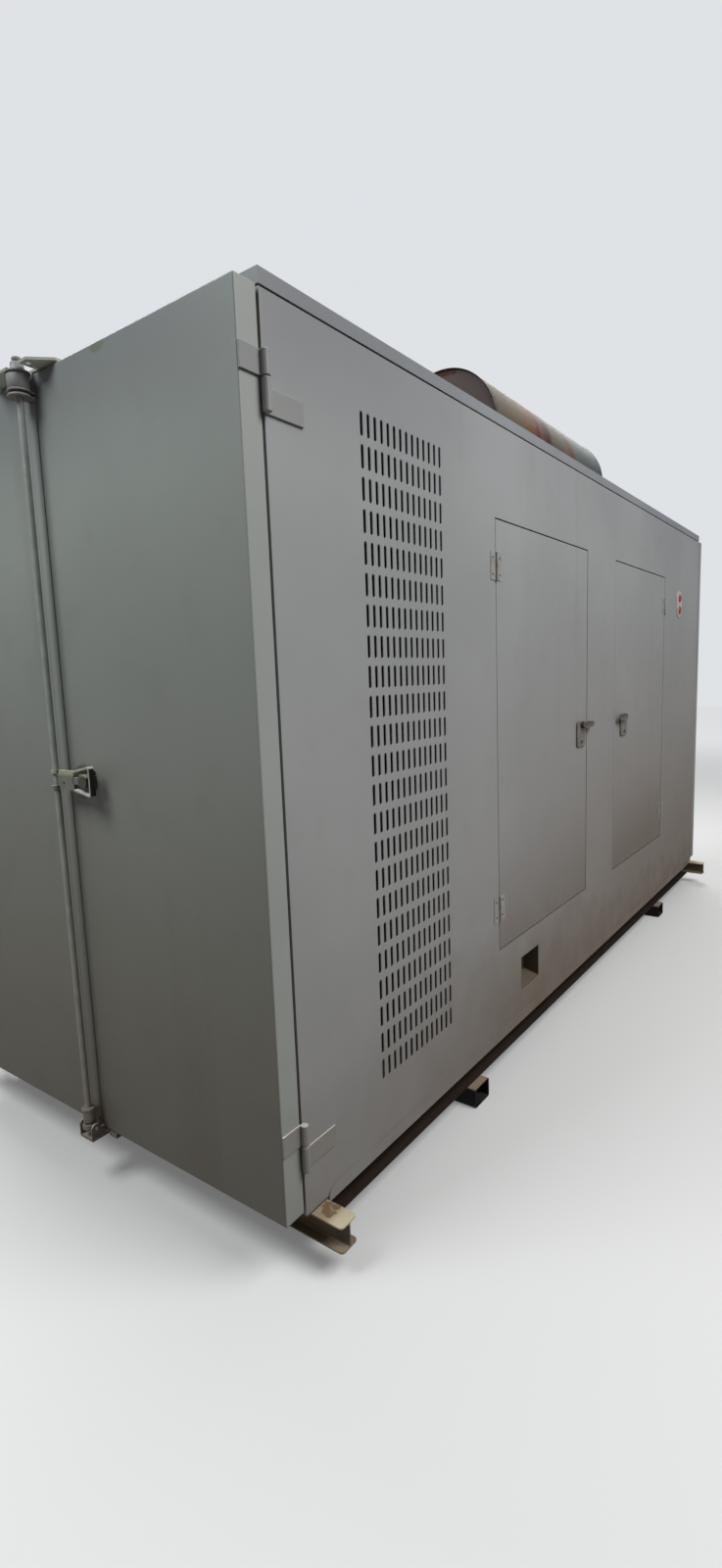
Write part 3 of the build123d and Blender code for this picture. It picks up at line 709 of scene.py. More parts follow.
class Surface:
    """Gathers rings of points and flat faces, and makes one piece of them."""

    def __init__(self) -> None:
        """Starts empty."""
        self.points: list[Array] = []
        self.faces: list[list[int]] = []
        self.count = 0

    def add(self, points: Array, faces: list[list[int]]) -> Surface:
        """Adds points, and faces that number them from 0.

        Args:
            points: The points.
            faces: The faces.

        Returns:
            This surface, as from all that add to it.
        """
        self.faces += [[corner + self.count for corner in face] for face in faces]
        self.points.append(points.reshape(-1, 3))
        self.count += len(self.points[-1])
        return self

    def join(self, other: Surface) -> Surface:
        """Takes in all that another surface holds."""
        return self.add(np.concatenate(other.points), other.faces)

    def rings(self, points: Array, closed: bool = False, capped: bool = False) -> Surface:
        """Joins neighbouring rings by quads.

        Args:
            points: Rings by points by three.
            closed: Whether the last ring joins the first.
            capped: Whether both end rings get a flat face.

        Returns:
            This surface.
        """
        rows, columns = points.shape[:2]
        row, column = np.indices((rows if closed else rows - 1, columns))
        here, below, right = row * columns, (row + 1) % rows * columns, (column + 1) % columns
        corners = (here + column, below + column, below + right, here + right)
        self.add(points, np.stack(corners, -1).reshape(-1, 4).tolist())
        for end in (0, -1) if capped else ():
            self.add(points[end], [list(range(columns))])
        return self

    def prism(self, outline: Array, axis: Axis, start: float, end: float) -> Surface:
        """A flat outline in the other two coordinates, carried straight along an axis."""
        levels = sorted((start, end))
        return self.rings(np.stack([lift(outline, axis, level) for level in levels]), capped=True)

    def block(self, corner: Sequence[float], other: Sequence[float]) -> Surface:
        """A plain block between two opposite corners."""
        (x0, x1), (y0, y1), (z0, z1) = (sorted(pair) for pair in zip(corner, other))
        return self.prism(np.array([[x0, y0], [x1, y0], [x1, y1], [x0, y1]]), Axis.Z, z0, z1)

    def tube(self, outer: Array, inner: Array, axis: Axis, low: float, high: float) -> Surface:
        """A hollow section: two matching rings carried along an axis and joined at the ends."""
        edges = ((outer, low), (outer, high), (inner, high), (inner, low))
        return self.rings(np.stack([lift(ring, axis, level) for ring, level in edges]), closed=True)

    def lathe(self, profile: Profile, centre: tuple[float, float], axis: Axis, steps: int) -> Surface:
        """Turns a profile round a line: each radius times cosine and sine, at its height.

        Args:
            profile: Radius and height of each point, from 0 to 0 or else right round a section.
            centre: Where the line crosses the plane of the other two coordinates.
            axis: The line's direction.
            steps: Facets round it.

        Returns:
            This surface.
        """
        shape = np.array(profile)
        flat = shape[:, None, :1] * disc(1.0, steps)[None] + np.array(centre)
        return self.rings(lift(flat, axis, shape[:, 1:2]), closed=bool(shape[0, 0] > 0))

    def piece(
        self, name: str, finish: Finish, body: str, *nodes: str, bevel: float = 0.0, smooth: float = 34.0
    ) -> None:
        """Makes the object and ties it to the frame.

        Args:
            name: The piece's name.
            finish: Its finish.
            body: The body that it rides on.
            nodes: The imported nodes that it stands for.
            bevel: Width of its rounded edges, 0 for none.
            smooth: Edges that turn by fewer degrees are smooth.
        """
        mesh = bpy.data.meshes.new(name)
        mesh.from_pydata(np.concatenate(self.points).tolist(), [], self.faces)
        shape = bmesh.new()
        shape.from_mesh(mesh)
        bmesh.ops.remove_doubles(shape, verts=shape.verts, dist=WELD)
        bmesh.ops.recalc_face_normals(shape, faces=shape.faces)
        shape.to_mesh(mesh)
        shape.free()
        mesh.polygons.foreach_set("use_smooth", np.ones(len(mesh.polygons), dtype=bool))
        mesh.set_sharp_from_angle(angle=math.radians(smooth))
        mesh.materials.append(finish.material())
        made = placed(name, mesh)
        if bevel > 0:
            edge = made.modifiers.new("rounded_edges", "BEVEL")
            edge.width, edge.segments, edge.harden_normals = bevel, 2, True
            edge.limit_method, edge.angle_limit = "ANGLE", math.radians(EDGE_ANGLE)
        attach(made, body)
        if nodes:
            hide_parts(*nodes)
        log.info("%s: %d faces on %s", name, len(mesh.polygons), body)


# The housing


@dataclass(frozen=True)
class Housing:
    """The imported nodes, and the places that several sub-assemblies share."""

    nodes: dict[str, bpy.types.Object] = field(default_factory=dict)
    near: float = -2.263
    far: float = 2.337
    half: float = 0.850
    leaf_bottom: float = 0.172
    leaf_top: float = 2.472
    wall_bottom: float = 0.158
    wall_top: float = 2.469
    beam_low: float = 0.075
    beam_top: float = 0.152
    rod_x: float = -2.304
    rod_y: float = -0.035

    def dress(self, finish: Finish, *names: str) -> None:
        """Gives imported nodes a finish.

        Args:
            finish: The finish.
            names: The nodes.
        """
        for name in names:
            node = self.nodes[name]
            if not node.material_slots:
                node.data.materials.append(finish.material())
            for place in node.material_slots:
                place.material = finish.material()
            log.info("%s: packed solid, %s", name, finish.name)


SHARED = Housing()
NEAR, HALF, ROD_Y = SHARED.near, SHARED.half, SHARED.rod_y
GROUND = -1.0  # a level under everything
FLANGE = 0.006  # the beams' flanges, as the bands of tone take them
DOOR_TONE = rgb(146, 151, 147)


class Skin:
    """The housing's finishes; the bands and marks of one are where the photograph has them."""

    PANEL = WeatheredShadedPaint("panel_paint_weathered")
    ROOF = WeatheredShadedPaint("roof_paint_dusty", rgb(142, 145, 150))
    SERVICE = WeatheredShadedPaint(
        "service_door_paint", bands=(Band(Axis.Z, GROUND, 0.78, rgb(88, 70, 54), 0.42, 0.30),)
    )
    CORNER = WeatheredShadedPaint(
        "corner_paint_weathered",
        marks=(
            Mark((NEAR + 0.084, -HALF, 2.38), (0.006, 0.03, 0.11), rgb(138, 132, 120), 0.5),
            Mark((-2.1689, -HALF, 2.286), (0.006, 0.02, 0.008), rgb(60, 52, 44), 0.85),
        ),
    )
    # painted highlight: the pale ledge tone on the straps' upward edges
    STRAPS = WeatheredShadedPaint(
        "strap_paint_worn", rgb(146, 147, 145), Slot.DOOR, drift=0.0, ledge=rgb(208, 202, 190),
        roof=0.85, chips=0.3,
    )
    DOOR = WeatheredShadedPaint(
        "door_paint_weathered", DOOR_TONE, Slot.DOOR, dust=rgb(86, 74, 59), dust_and_shade_film=0.22, drift=0.0,
        # painted shade on the end leaves' faces
        end_face_shade=0.54, runs=0.18,
        # painted light: the leaves' returns are painted paler, as lit like the side
        bands=(Band(Axis.X, NEAR + 0.0015, NEAR + 0.2, rgb(160, 163, 159), 0.5, 0.0005),),
        marks=(
            Mark((NEAR, -0.3465, 2.464), (0.03, 0.032, 0.022), rgb(92, 104, 84), 0.75),
            # grease with painted shadow, on the leaf behind the catch's loop
            Mark((NEAR, -0.120, 1.312), (0.03, 0.068, 0.055), rgb(32, 29, 26), 0.92),
        ),
    )
    # painted shade: the pocket's inside is painted dark for the shade in the recess
    POCKET = WeatheredShadedPaint("pocket_paint_dusty", rgb(50, 43, 36), dust=rgb(64, 54, 42))
    # painted shade: the rails under the skirts are painted near-black; the bottom flange keeps a paler
    # tone
    RAILS = RustingSteel(
        "rail_steel_dark", rgb(18, 14, 12), rust=rgb(40, 26, 20), share=0.4, ledge=0.1, gloss=0.05,
        bands=(Band(Axis.Z, GROUND, SHARED.beam_low + FLANGE, rgb(46, 37, 33), 0.9),),
    )
    BASE = RustingSteel("base_steel_dusty", rgb(84, 76, 68), share=0.5)
    BEAM = RustingSteel(
        "beam_paint_rusting", rgb(194, 182, 158), Slot.PRIMED, dust=rgb(190, 176, 150), share=0.16,
        ledge=0.5,
        bands=(
            # painted shade: the web and the flanges' inner faces between them are painted near-black;
            # below, the bottom flange is darker
            Band(Axis.Z, SHARED.beam_low + FLANGE, SHARED.beam_top - FLANGE, rgb(34, 24, 19), 0.9),
            Band(Axis.Z, GROUND, SHARED.beam_low + FLANGE, rgb(86, 68, 55), 0.85),
            Band(Axis.Y, -0.908, 0.908, rgb(112, 88, 60), 0.50, 0.018),
        ),
        marks=(Mark((-2.122, -0.876, SHARED.beam_top), (0.030, 0.024, 0.02), rgb(104, 80, 48)),),
    )
    TUBE = RustingSteel(
        "tube_steel_dusty", rgb(66, 54, 46), Slot.BASE, rust=rgb(60, 40, 30), dust=rgb(146, 130, 114),
        # painted shade: all below the top faces, insides included, painted near-black
        share=0.3, ledge=0.75, gloss=0.2, bands=(Band(Axis.Z, GROUND, 0.068, rgb(14, 11, 10)),),
    )
    SILENCER = HeatBleachedPaint("silencer_paint_burnt", slot=Slot.SILENCER)
    RUSTY = RustingSteel(
        "silencer_end_rusted", rgb(80, 68, 68), Slot.RUSTY, 0.85, rust=rgb(88, 58, 50), share=0.5
    )
    ZINC = PlatedMetal(
        "zinc_dulled", rgb(136, 132, 126), metal=0.3,
        bands=(Band(Axis.Z, GROUND, 0.30, rgb(118, 102, 90), 0.7, 0.05),),
    )
    ROD = PlatedMetal(
        "rod_paint_thin", rgb(142, 148, 143), rough=0.48, tarnish=rgb(124, 126, 120), metal=0.1, wear=0.6,
        bands=(
            Band(Axis.Z, GROUND, 0.8, rgb(122, 109, 100), 0.9, 0.7),
            Band(Axis.Z, 2.416, 3.0, rgb(118, 116, 117)),
        ),
    )
    # painted highlight on upward faces and painted shade on faces toward the front side
    HANDLE = SteelWithPaintedLight(
        "handle_rubbed", rgb(118, 120, 110), side_shade=0.5,
        bands=(
            Band(Axis.Y, ROD_Y - 0.2, ROD_Y - 0.121, rgb(52, 43, 40), 0.9, 0.003),
            # the handle's top strip is paler: rubbed paint and painted highlight
            Band(Axis.Z, 1.338, 1.4, rgb(196, 190, 160), 0.55, 0.006),
        ),
    )
    # painted shade: near-black on faces toward the front side, painted highlight on upward faces
    CATCH = SteelWithPaintedLight(
        "catch_rubbed", rgb(176, 174, 166), highlight_and_scratch_tone=rgb(224, 222, 210), side_shade_tone=rgb(9, 8, 7), side_shade=1.0,
        # painted shade on the post and foot behind the loop
        bands=(Band(Axis.X, NEAR - 0.0335, NEAR + 0.1, rgb(36, 31, 28), 0.95, 0.001),),
    )
    # paler upward faces, partly dust and partly painted highlight; painted shade on faces toward the
    # front side
    KEEPER = SteelWithPaintedLight(
        "keeper_dusty", rgb(116, 102, 92), Slot.BASE, highlight_and_scratch_tone=rgb(176, 164, 148), side_shade=0.3, edges=0.8
    )
    CHROME = PlatedMetal(
        "latch_plate_worn", rgb(122, 115, 108), Slot.CHROME, 0.42, tarnish=rgb(92, 84, 78), metal=0.35
    )
    LEVER = PlatedMetal(
        "latch_lever_worn", rgb(92, 86, 78), Slot.CHROME, 0.32, tarnish=rgb(58, 52, 46), metal=0.45
    )
    SCREW = PlatedMetal("screw_heads_dark", rgb(72, 68, 64), tarnish=rgb(44, 40, 36), metal=0.4)
    WING = PlatedMetal(
        "hinge_wings_dulled", rgb(158, 157, 153), rough=0.45, tarnish=rgb(124, 121, 115), metal=0.2
    )
    PLATE = MouldedPlastic("button_plate_pale", rgb(190, 184, 177), Slot.PLATE)
    RED = MouldedPlastic("button_red_faded", rgb(158, 40, 44), Slot.RED, 0.4, faded=rgb(142, 62, 62))
    DARK = MouldedPlastic("keyhole_dark", rgb(24, 23, 22), Slot.CHROME, 0.6, faded=rgb(34, 32, 30))


# Sub-assemblies


@dataclass(frozen=True)
class Cladding(Housing):
    """Walls, frames, roof and the two slotted sheets."""

    columns: int = 14
    rows: int = 23
    slot_width: float = 0.012
    slot_length: float = 0.0635
    pitch_x: float = 0.032
    pitch_z: float = 0.0849
    sheet: float = 0.003
    lip: float = 0.0012
    grille_start: float = 0.420
    grille_width: float = 0.492
    bottom_row: float = 0.229
    plain: tuple[str, ...] = (
        "front_wall_middle", "front_header", "front_sill", "front_mullion", "front_wall_far",
        "back_wall_panels", "back_door_rails", "back_mullion", "back_doors", "frame_posts",
        "frame_rails",
    )

    def slot_rings(self) -> Array:
        """One slot's skin from the cell's edge over the lip and through the sheet.

        The slot is two half circles joined by straights. The cell's edge is the
        same turn pushed out until it meets the cell's rectangle.

        Returns:
            Rings by points by width, height and depth, about the slot's middle.
        """
        radius, straight = self.slot_width / 2, (self.slot_length - self.slot_width) / 2
        across, rise = self.pitch_x / 2, self.pitch_z / 2 - straight
        corner, right_angle = math.atan2(rise, across), math.pi / 2
        quarter = np.array([0.0, corner / 2, corner, (corner + right_angle) / 2, right_angle])
        half_turn = np.concatenate([quarter, math.pi - quarter[-2::-1]])
        turn = np.concatenate([half_turn, half_turn + math.pi])
        way = ways(turn)
        middle = np.repeat([1.0, -1.0], len(half_turn)) * straight
        reach = (np.array([across, rise]) / np.maximum(np.abs(way), 1e-9)).min(axis=1)
        steps = ((reach, 0.0), (radius + self.lip, 0.0), (radius, self.lip), (radius, self.sheet),
                 (reach, self.sheet))
        return np.stack([
            np.column_stack([way[:, 0] * r, middle + way[:, 1] * r, np.full(len(turn), depth)])
            for r, depth in steps
        ])

    def slotted_sheet(self, side: Side) -> Surface:
        """The whole sheet: the slot's skin repeated over rows and columns, with plain margins.

        Args:
            side: The long side.

        Returns:
            The surface.
        """
        rings, surface = self.slot_rings(), Surface()
        start = self.near + self.grille_start
        end = start + self.grille_width
        across = (start + end) / 2 + (np.arange(self.columns) - (self.columns - 1) / 2) * self.pitch_x
        up = self.leaf_bottom + self.bottom_row + np.arange(self.rows) * self.pitch_z
        for z in up:
            for x in across:
                skin = (x + rings[..., 0], side * (self.half - rings[..., 2]), z + rings[..., 1])
                surface.rings(np.stack(skin, -1))
        left, right = across[0] - self.pitch_x / 2, across[-1] + self.pitch_x / 2
        low, high = up[0] - self.pitch_z / 2, up[-1] + self.pitch_z / 2
        out, back = side * self.half, side * (self.half - self.sheet)
        for x0, x1, z0, z1 in (
            (start, left, self.wall_bottom, self.wall_top),
            (right, end, self.wall_bottom, self.wall_top),
            (left, right, self.wall_bottom, low),
            (left, right, high, self.wall_top),
        ):
            surface.block((x0, out, z0), (x1, back, z1))
        return surface

    def build(self) -> None:
        """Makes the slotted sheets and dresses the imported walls."""
        for side, node in ((Side.FRONT, "front_grille"), (Side.BACK, "back_grille_sheet")):
            name = f"grille_sheet_{side.name.lower()}"
            self.slotted_sheet(side).piece(name, Skin.PANEL, "housing", node, smooth=40)
        self.dress(Skin.PANEL, *self.plain)
        self.dress(Skin.CORNER, "front_wall_near")
        self.dress(Skin.ROOF, "roof_panel")
        self.dress(Skin.POCKET, "pocket_box")


@dataclass(frozen=True)
class Base(Housing):
    """Cross tubes, end beams, rails, floor tray and skirts."""

    tube_inset: float = 1.040
    tube_width: float = 0.110
    tube_height: float = 0.075
    tube_wall: float = 0.005
    tube_reach: float = 0.032
    beam_inset: float = 0.132
    beam_flange: float = 0.068
    beam_plate: float = 0.005
    beam_corner: float = 0.012
    beam_root: float = 0.007
    beam_reach: float = 0.104

    def cross_tubes(self) -> Surface:
        """Two rolled hollow sections, whose rings are rectangles with round corners.

        Returns:
            The surface.
        """
        surface, wall, end = Surface(), self.tube_wall, self.half + self.tube_reach
        outer = rounded_box(self.tube_width, self.tube_height, 2 * wall)
        inner = rounded_box(self.tube_width - 2 * wall, self.tube_height - 2 * wall, wall)
        for x in (self.near + self.tube_inset, self.far - self.tube_inset):
            centre = (x, self.tube_height / 2)
            surface.tube(outer + centre, inner + centre, Axis.Y, -end, end)
        return surface

    def end_beams(self) -> Surface:
        """Two beams: flange plates with round corners and an upright web with root fillets.

        Returns:
            The surface.
        """
        surface, plate, reach = Surface(), self.beam_plate, self.half + self.beam_reach
        low, top = self.beam_low, self.beam_top
        flange = rounded_box(self.beam_flange, 2 * reach, self.beam_corner, 7)
        fillet = self.beam_root * (1 - ways(np.linspace(0.0, math.pi / 2, 5)))
        lower = fillet + (plate / 2, low + plate)
        upper = lower * (1.0, -1.0) + (0.0, low + top)
        right = np.concatenate([lower[::-1], upper])
        web = np.concatenate([right, (right * (-1.0, 1.0))[::-1]])
        for x in (self.near + self.beam_inset, self.far - self.beam_inset):
            surface.prism(flange + (x, 0.0), Axis.Z, low, low + plate)
            surface.prism(flange + (x, 0.0), Axis.Z, top - plate, top)
            surface.prism(web + (x, 0.0), Axis.Y, -reach, reach)
        return surface

    def build(self) -> None:
        """Makes the tubes and beams and dresses the rest."""
        self.cross_tubes().piece("tubes_under_base", Skin.TUBE, "housing", "cross_tubes")
        self.end_beams().piece("end_beams_rusting", Skin.BEAM, "housing", "outriggers", bevel=0.0012)
        self.dress(Skin.RAILS, "rails")
        self.dress(Skin.BASE, "floor_tray")
        self.dress(Skin.PANEL, "skirts")


@dataclass(frozen=True)
class Silencer(Housing):
    """The drum on the roof with its flat near end and domed far end."""

    start: float = 0.117
    length: float = 1.665
    radius: float = 0.318
    axis_z: float = 2.886
    sheet: float = 0.003
    recess: float = 0.008
    rise: float = 0.070
    seam_width: float = 0.008
    seam_height: float = 0.0022
    seam_share: float = 0.01
    near_dish: Profile = (
        (0.0, -0.001), (0.5, -0.0005), (0.9, 0.0), (1.0, 0.002), (1.0, 0.006), (0.0, 0.006)
    )
    dome_power: float = 0.62

    def shell(self) -> Profile:
        """The rolled shell, whose radius swells a little at the seam of each rim.

        Returns:
            Its section.
        """
        seam = np.linspace(-1, 1, 9) * self.seam_share
        along = np.unique(np.concatenate([np.linspace(0, 1, 40), seam, 1.0 + seam]))
        along = along[(along >= 0) & (along <= 1)]
        swell = sum(
            np.clip(1 - (np.abs(along - rim) * self.length / self.seam_width) ** 2, 0, 1)
            for rim in (0.0, 1.0)
        )
        radii = self.radius - self.seam_height + swell * self.seam_height
        inner = self.radius - self.seam_height - self.sheet
        ends = ((inner, self.start + self.length), (inner, self.start))
        return [*zip(radii, self.start + along * self.length), *ends]

    def near_end(self) -> Profile:
        """The recessed plate: a disc whose radius grows over a shallow dish to the shell."""
        r, x = self.radius - self.seam_height - self.sheet, self.start + self.recess
        return [(share * r, x + depth) for share, depth in self.near_dish]

    def far_end(self) -> Profile:
        """The dome: a flat cap that bends into a tight knuckle at the rim.

        Returns:
            Its section.
        """
        base, share = self.start + self.length, np.linspace(0, 1, 22)
        bend = base + self.rise * (1 - share**2) ** self.dome_power
        return [*zip((self.radius - self.seam_height) * share, bend), (0.0, base)]

    def build(self) -> None:
        """Makes the drum's three pieces and dresses its saddles."""
        for name, skin, node, smooth, profile in (
            ("silencer_drum", Skin.SILENCER, "silencer_shell", 30, self.shell()),
            ("silencer_end_plate", Skin.RUSTY, "silencer_near_head", 30, self.near_end()),
            ("silencer_dome", Skin.SILENCER, "silencer_far_head", 50, self.far_end()),
        ):
            turned = Surface().lathe(profile, (0.0, self.axis_z), Axis.X, 96)
            turned.piece(name, skin, "housing", node, smooth=smooth)
        self.dress(Skin.BASE, "silencer_saddles")


@dataclass(frozen=True)
class EndDoors(Housing):
    """The lined leaves of the near end, all lift-off hinges and the meeting strip."""

    leaf_depth: float = 0.071
    leaf_edge: float = 0.003
    edge: float = 0.005
    hinge_levels: tuple[float, float] = (0.372, 2.272)
    hinge_x: float = -2.1885
    hinge_out: float = 0.0125
    knuckle: float = 0.0115
    knuckle_rim: float = 0.0018
    fixed_height: float = 0.075
    moving_height: float = 0.058
    gap: float = 0.002
    pin: float = 0.0055
    pin_low: float = 0.05
    pin_rise: float = 0.04
    strap: float = 0.006
    strap_height: float = 0.058
    side_strap: float = 0.132
    strap_clear: float = 0.005
    strip: tuple[float, float, float] = (0.004, -0.045, -0.003)
    shelf_rim: float = 0.0008

    def hinges(self, surface: Surface, side: Side, moving: bool) -> Surface:
        """Adds half of each lift-off hinge: a knuckle and its strap.

        Args:
            surface: What they are added to.
            side: The long side.
            moving: Whether they are the sockets, on the leaf's return, or the pin halves, whose
                straps lie along the wall.

        Returns:
            The surface.
        """
        centre = (self.hinge_x, side * (self.half + self.hinge_out))
        for level in self.hinge_levels:
            if moving:
                low, tall = level + self.gap / 2, self.moving_height
                start, end = self.near, self.hinge_x - self.strap_clear
            else:
                low, tall = level - self.gap / 2 - self.fixed_height, self.fixed_height
                start = self.hinge_x + self.strap_clear
                end = start + self.side_strap
            surface.lathe(drum(self.knuckle, low, low + tall, self.knuckle_rim), centre, Axis.Z, 40)
            out, top = side * (self.half + self.strap), low + self.strap_height
            surface.block((start, side * self.half, low), (end, out, top))
            if not moving:
                foot, tip = low + self.pin_low, level + self.pin_rise
                pin = [(0.0, foot), (self.pin, foot), (self.pin, tip), (0.0, tip)]
                surface.lathe(pin, centre, Axis.Z, 20)
        return surface

    def build(self) -> None:
        """Makes the leaves, hinges and strip and dresses the far end."""
        for side in Side:
            name = side.name.lower()
            body = f"end_door_{name}"
            leaf = Surface().block(
                (self.near, side * self.half, self.leaf_bottom),
                (self.near + self.leaf_depth, side * self.leaf_edge, self.leaf_top),
            )
            leaf.piece(f"end_leaf_{name}", Skin.DOOR, body, body, bevel=self.edge)
            sockets = self.hinges(Surface(), side, True)
            sockets.piece(f"end_hinge_socket_{name}", Skin.STRAPS, body, f"{body}_hinges", bevel=0.0016)
        fixed = self.hinges(self.hinges(Surface(), Side.FRONT, False), Side.BACK, False)
        fixed.piece("end_hinge_straps", Skin.STRAPS, "housing", "end_hinge_plates", bevel=0.0016)
        self.dress(Skin.DOOR, "far_end_leaves")
        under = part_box("lock_shelf")[0][2]
        # painted light: the shelf's underside is painted pale, as if lit like the door
        pale = Band(Axis.Z, 0.0, under + self.shelf_rim, rgb(224, 228, 216), soft=0.0003)
        shelf = WeatheredShadedPaint("shelf_paint_weathered", DOOR_TONE, drift=0.0, top_shade=0.0, bands=(pale,))
        self.dress(shelf, "lock_shelf")
        depth, y0, y1 = self.strip
        strip = Surface().block((self.near - depth, y0, self.leaf_bottom), (self.near, y1, self.leaf_top))
        strip.piece("meeting_strip_folded", Skin.DOOR, "end_door_front", "meeting_strip", bevel=0.0015)


@dataclass(frozen=True)
class LockGear(Housing):
    """The lock rod of the end doors with its guides, keeper, handle and catch."""

    rod: float = 0.0095
    rod_steps: Profile = (
        (0.0, 0.182), (0.008, 0.182), (0.0095, 0.1835), (0.0095, 0.190), (0.0205, 0.190),
        (0.022, 0.1915), (0.022, 0.2045), (0.0205, 0.206), (0.0095, 0.206), (0.0095, 0.251),
        (0.0195, 0.251), (0.021, 0.2525), (0.021, 0.2585), (0.0195, 0.260), (0.0105, 0.2605),
        (0.0095, 0.262), (0.0095, 2.418), (0.028, 2.418), (0.030, 2.421), (0.030, 2.455),
        (0.0275, 2.460), (0.033, 2.461), (0.033, 2.465), (0.031, 2.466), (0.023, 2.468),
        (0.0195, 2.474), (0.0185, 2.484), (0.0165, 2.490), (0.009, 2.491), (0.0095, 2.493),
        (0.0125, 2.497), (0.0130, 2.500), (0.0115, 2.504), (0.006, 2.507), (0.0, 2.507),
    )
    lobe: float = 0.010
    lobe_offset: float = 0.015
    lobe_levels: tuple[float, float] = (0.1905, 0.2055)
    lobe_rim: float = 0.001
    guides: tuple[tuple[float, float, float, float], ...] = (
        (0.214, 0.250, 0.0185, 0.022), (2.399, 2.404, 0.032, 0.038), (2.412, 2.417, 0.032, 0.038)
    )
    guide_rim: float = 0.0008
    guide_lap: float = 0.001
    bore_clear: float = 0.0002
    strip_face: float = 0.0042
    web_out: float = 0.008
    web_half: float = 0.011
    keeper_low: float = 0.156
    keeper_plate: float = 0.008
    keeper_half: float = 0.034
    keeper_front: float = 0.016
    keeper_back: float = 0.009
    keeper_under: float = 0.0778
    keeper_cheek: float = 0.006
    keeper_nose: float = 0.017
    keeper_hole: float = 0.006
    keeper_hole_rise: float = 0.030
    keeper_shoulder: float = 0.015
    keeper_ear: tuple[float, float, float] = (0.004, 0.038, 0.016)
    handle_z: float = 1.322
    handle_plate: float = 0.010
    handle_half: float = 0.029
    handle_hole: tuple[float, float, float] = (-0.046, -0.009, 0.005)
    hub: float = 0.014
    fork_half: float = 0.018
    fork_reach: float = 0.022
    fork_lap: float = 0.0005
    plate_start: float = 0.014
    plate_length: float = 0.098
    plate_corner: float = 0.004
    length: float = 0.162
    neck_half: float = 0.010
    neck_laps: tuple[float, float] = (0.02, 0.004)
    knob: tuple[float, float, float] = (0.040, 0.042, 0.018)
    knob_proud: float = 0.001
    catch_mouth: float = 0.060
    catch_flare: float = 0.092
    catch_length: float = 0.082
    catch_corner: float = 0.011
    catch_clear: float = 0.022
    catch_bar: float = 0.006
    catch_reach: float = 0.050
    catch_depth: float = 0.018
    post_inset: float = 0.044
    post_length: float = 0.024
    post_half: float = 0.017
    post_laps: tuple[float, float] = (0.0002, 0.0005)
    foot: tuple[float, float, float] = (0.054, 0.060, 0.006)
    foot_clear: float = 0.0002

    def welded_guides(self) -> Surface:
        """Bored discs round the rod, each with a neck back to the strip.

        A disc's section is a small rectangle with broken edges, turned round the rod.

        Returns:
            The surface.
        """
        surface, rim, x, y = Surface(), self.guide_rim, self.rod_x, self.rod_y
        face = self.near - self.strip_face
        for low, high, radius, neck in self.guides:
            section = drum(radius, low, high, rim, self.rod + self.bore_clear)
            surface.lathe(section, (x, y), Axis.Z, 48)
            inside = x + math.sqrt(radius**2 - (neck / 2) ** 2) - self.guide_lap
            surface.block((inside, y - neck / 2, low + rim), (face, y + neck / 2, high - rim))
        low, high = self.guides[1][1], self.guides[2][0]
        web = (self.near - self.web_out, y - self.web_half, low)
        return surface.block(web, (face, y + self.web_half, high))

    def keeper(self) -> Surface:
        """A plate out from under the leaf, with a round-topped cheek on each side of the cam.

        Returns:
            The surface.
        """
        front, back = self.rod_x - self.keeper_front, self.near - self.keeper_back
        top, under = self.keeper_low + self.keeper_plate, self.near + self.keeper_under
        shoulder = top + self.keeper_shoulder
        hole = np.array([front + self.keeper_nose, top + self.keeper_hole_rise])
        y0, y1 = self.rod_y - self.keeper_half, self.rod_y + self.keeper_half
        surface = Surface().block((front, y0, self.keeper_low), (under, y1, top))
        nose = hole + self.keeper_nose * ways(np.linspace(0.0, math.pi, 17))
        foot = [[front, shoulder], [front, top], [(front + back) / 2, top], [back, top],
                [back, shoulder], [back, hole[1]]]
        ring = np.concatenate([nose, foot])
        inner = round_hole(ring, hole, self.keeper_hole)
        for low in (y0, y1 - self.keeper_cheek):
            surface.tube(ring, inner, Axis.Y, low, low + self.keeper_cheek)
        inset, width, thick = self.keeper_ear
        return surface.block((self.near + inset, y0 - width, top - thick), (under, y0, top))

    def handle(self) -> Surface:
        """The forked hub and the flat lever: a plate with a hole, a neck and a rounded knob.

        Returns:
            The surface.
        """
        x, y, z, h = self.rod_x, self.rod_y, self.handle_z, self.handle_half
        x0, x1, end = x - self.handle_plate / 2, x + self.handle_plate / 2, y - self.plate_length
        outer, bore = disc(self.hub, 32) + (x, y), disc(self.rod + self.bore_clear, 32) + (x, y)
        surface = Surface()
        for low, high in ((z - h, z - self.fork_half), (z + self.fork_half, z + h)):
            surface.tube(outer, bore, Axis.Z, low, high)
            surface.block((x0, y - self.fork_reach, low), (x1, y - self.rod + self.fork_lap, high))
        middle, width = (end + y - self.plate_start) / 2, self.plate_length - self.plate_start
        ring = rounded_box(width, 2 * h, self.plate_corner, 6) + (middle, z)
        across, up, radius = self.handle_hole
        surface.tube(ring, round_hole(ring, np.array([y + across, z + up]), radius), Axis.X, x0, x1)
        tip, neck, (knob_lap, plate_lap) = y - self.length, self.neck_half, self.neck_laps
        surface.block((x0, tip + knob_lap, z - neck), (x1, end + plate_lap, z + neck))
        knob = rounded_box(*self.knob, 8) + (tip + self.knob[0] / 2, z)
        return surface.prism(knob, Axis.X, x0 - self.knob_proud, x1 + self.knob_proud)

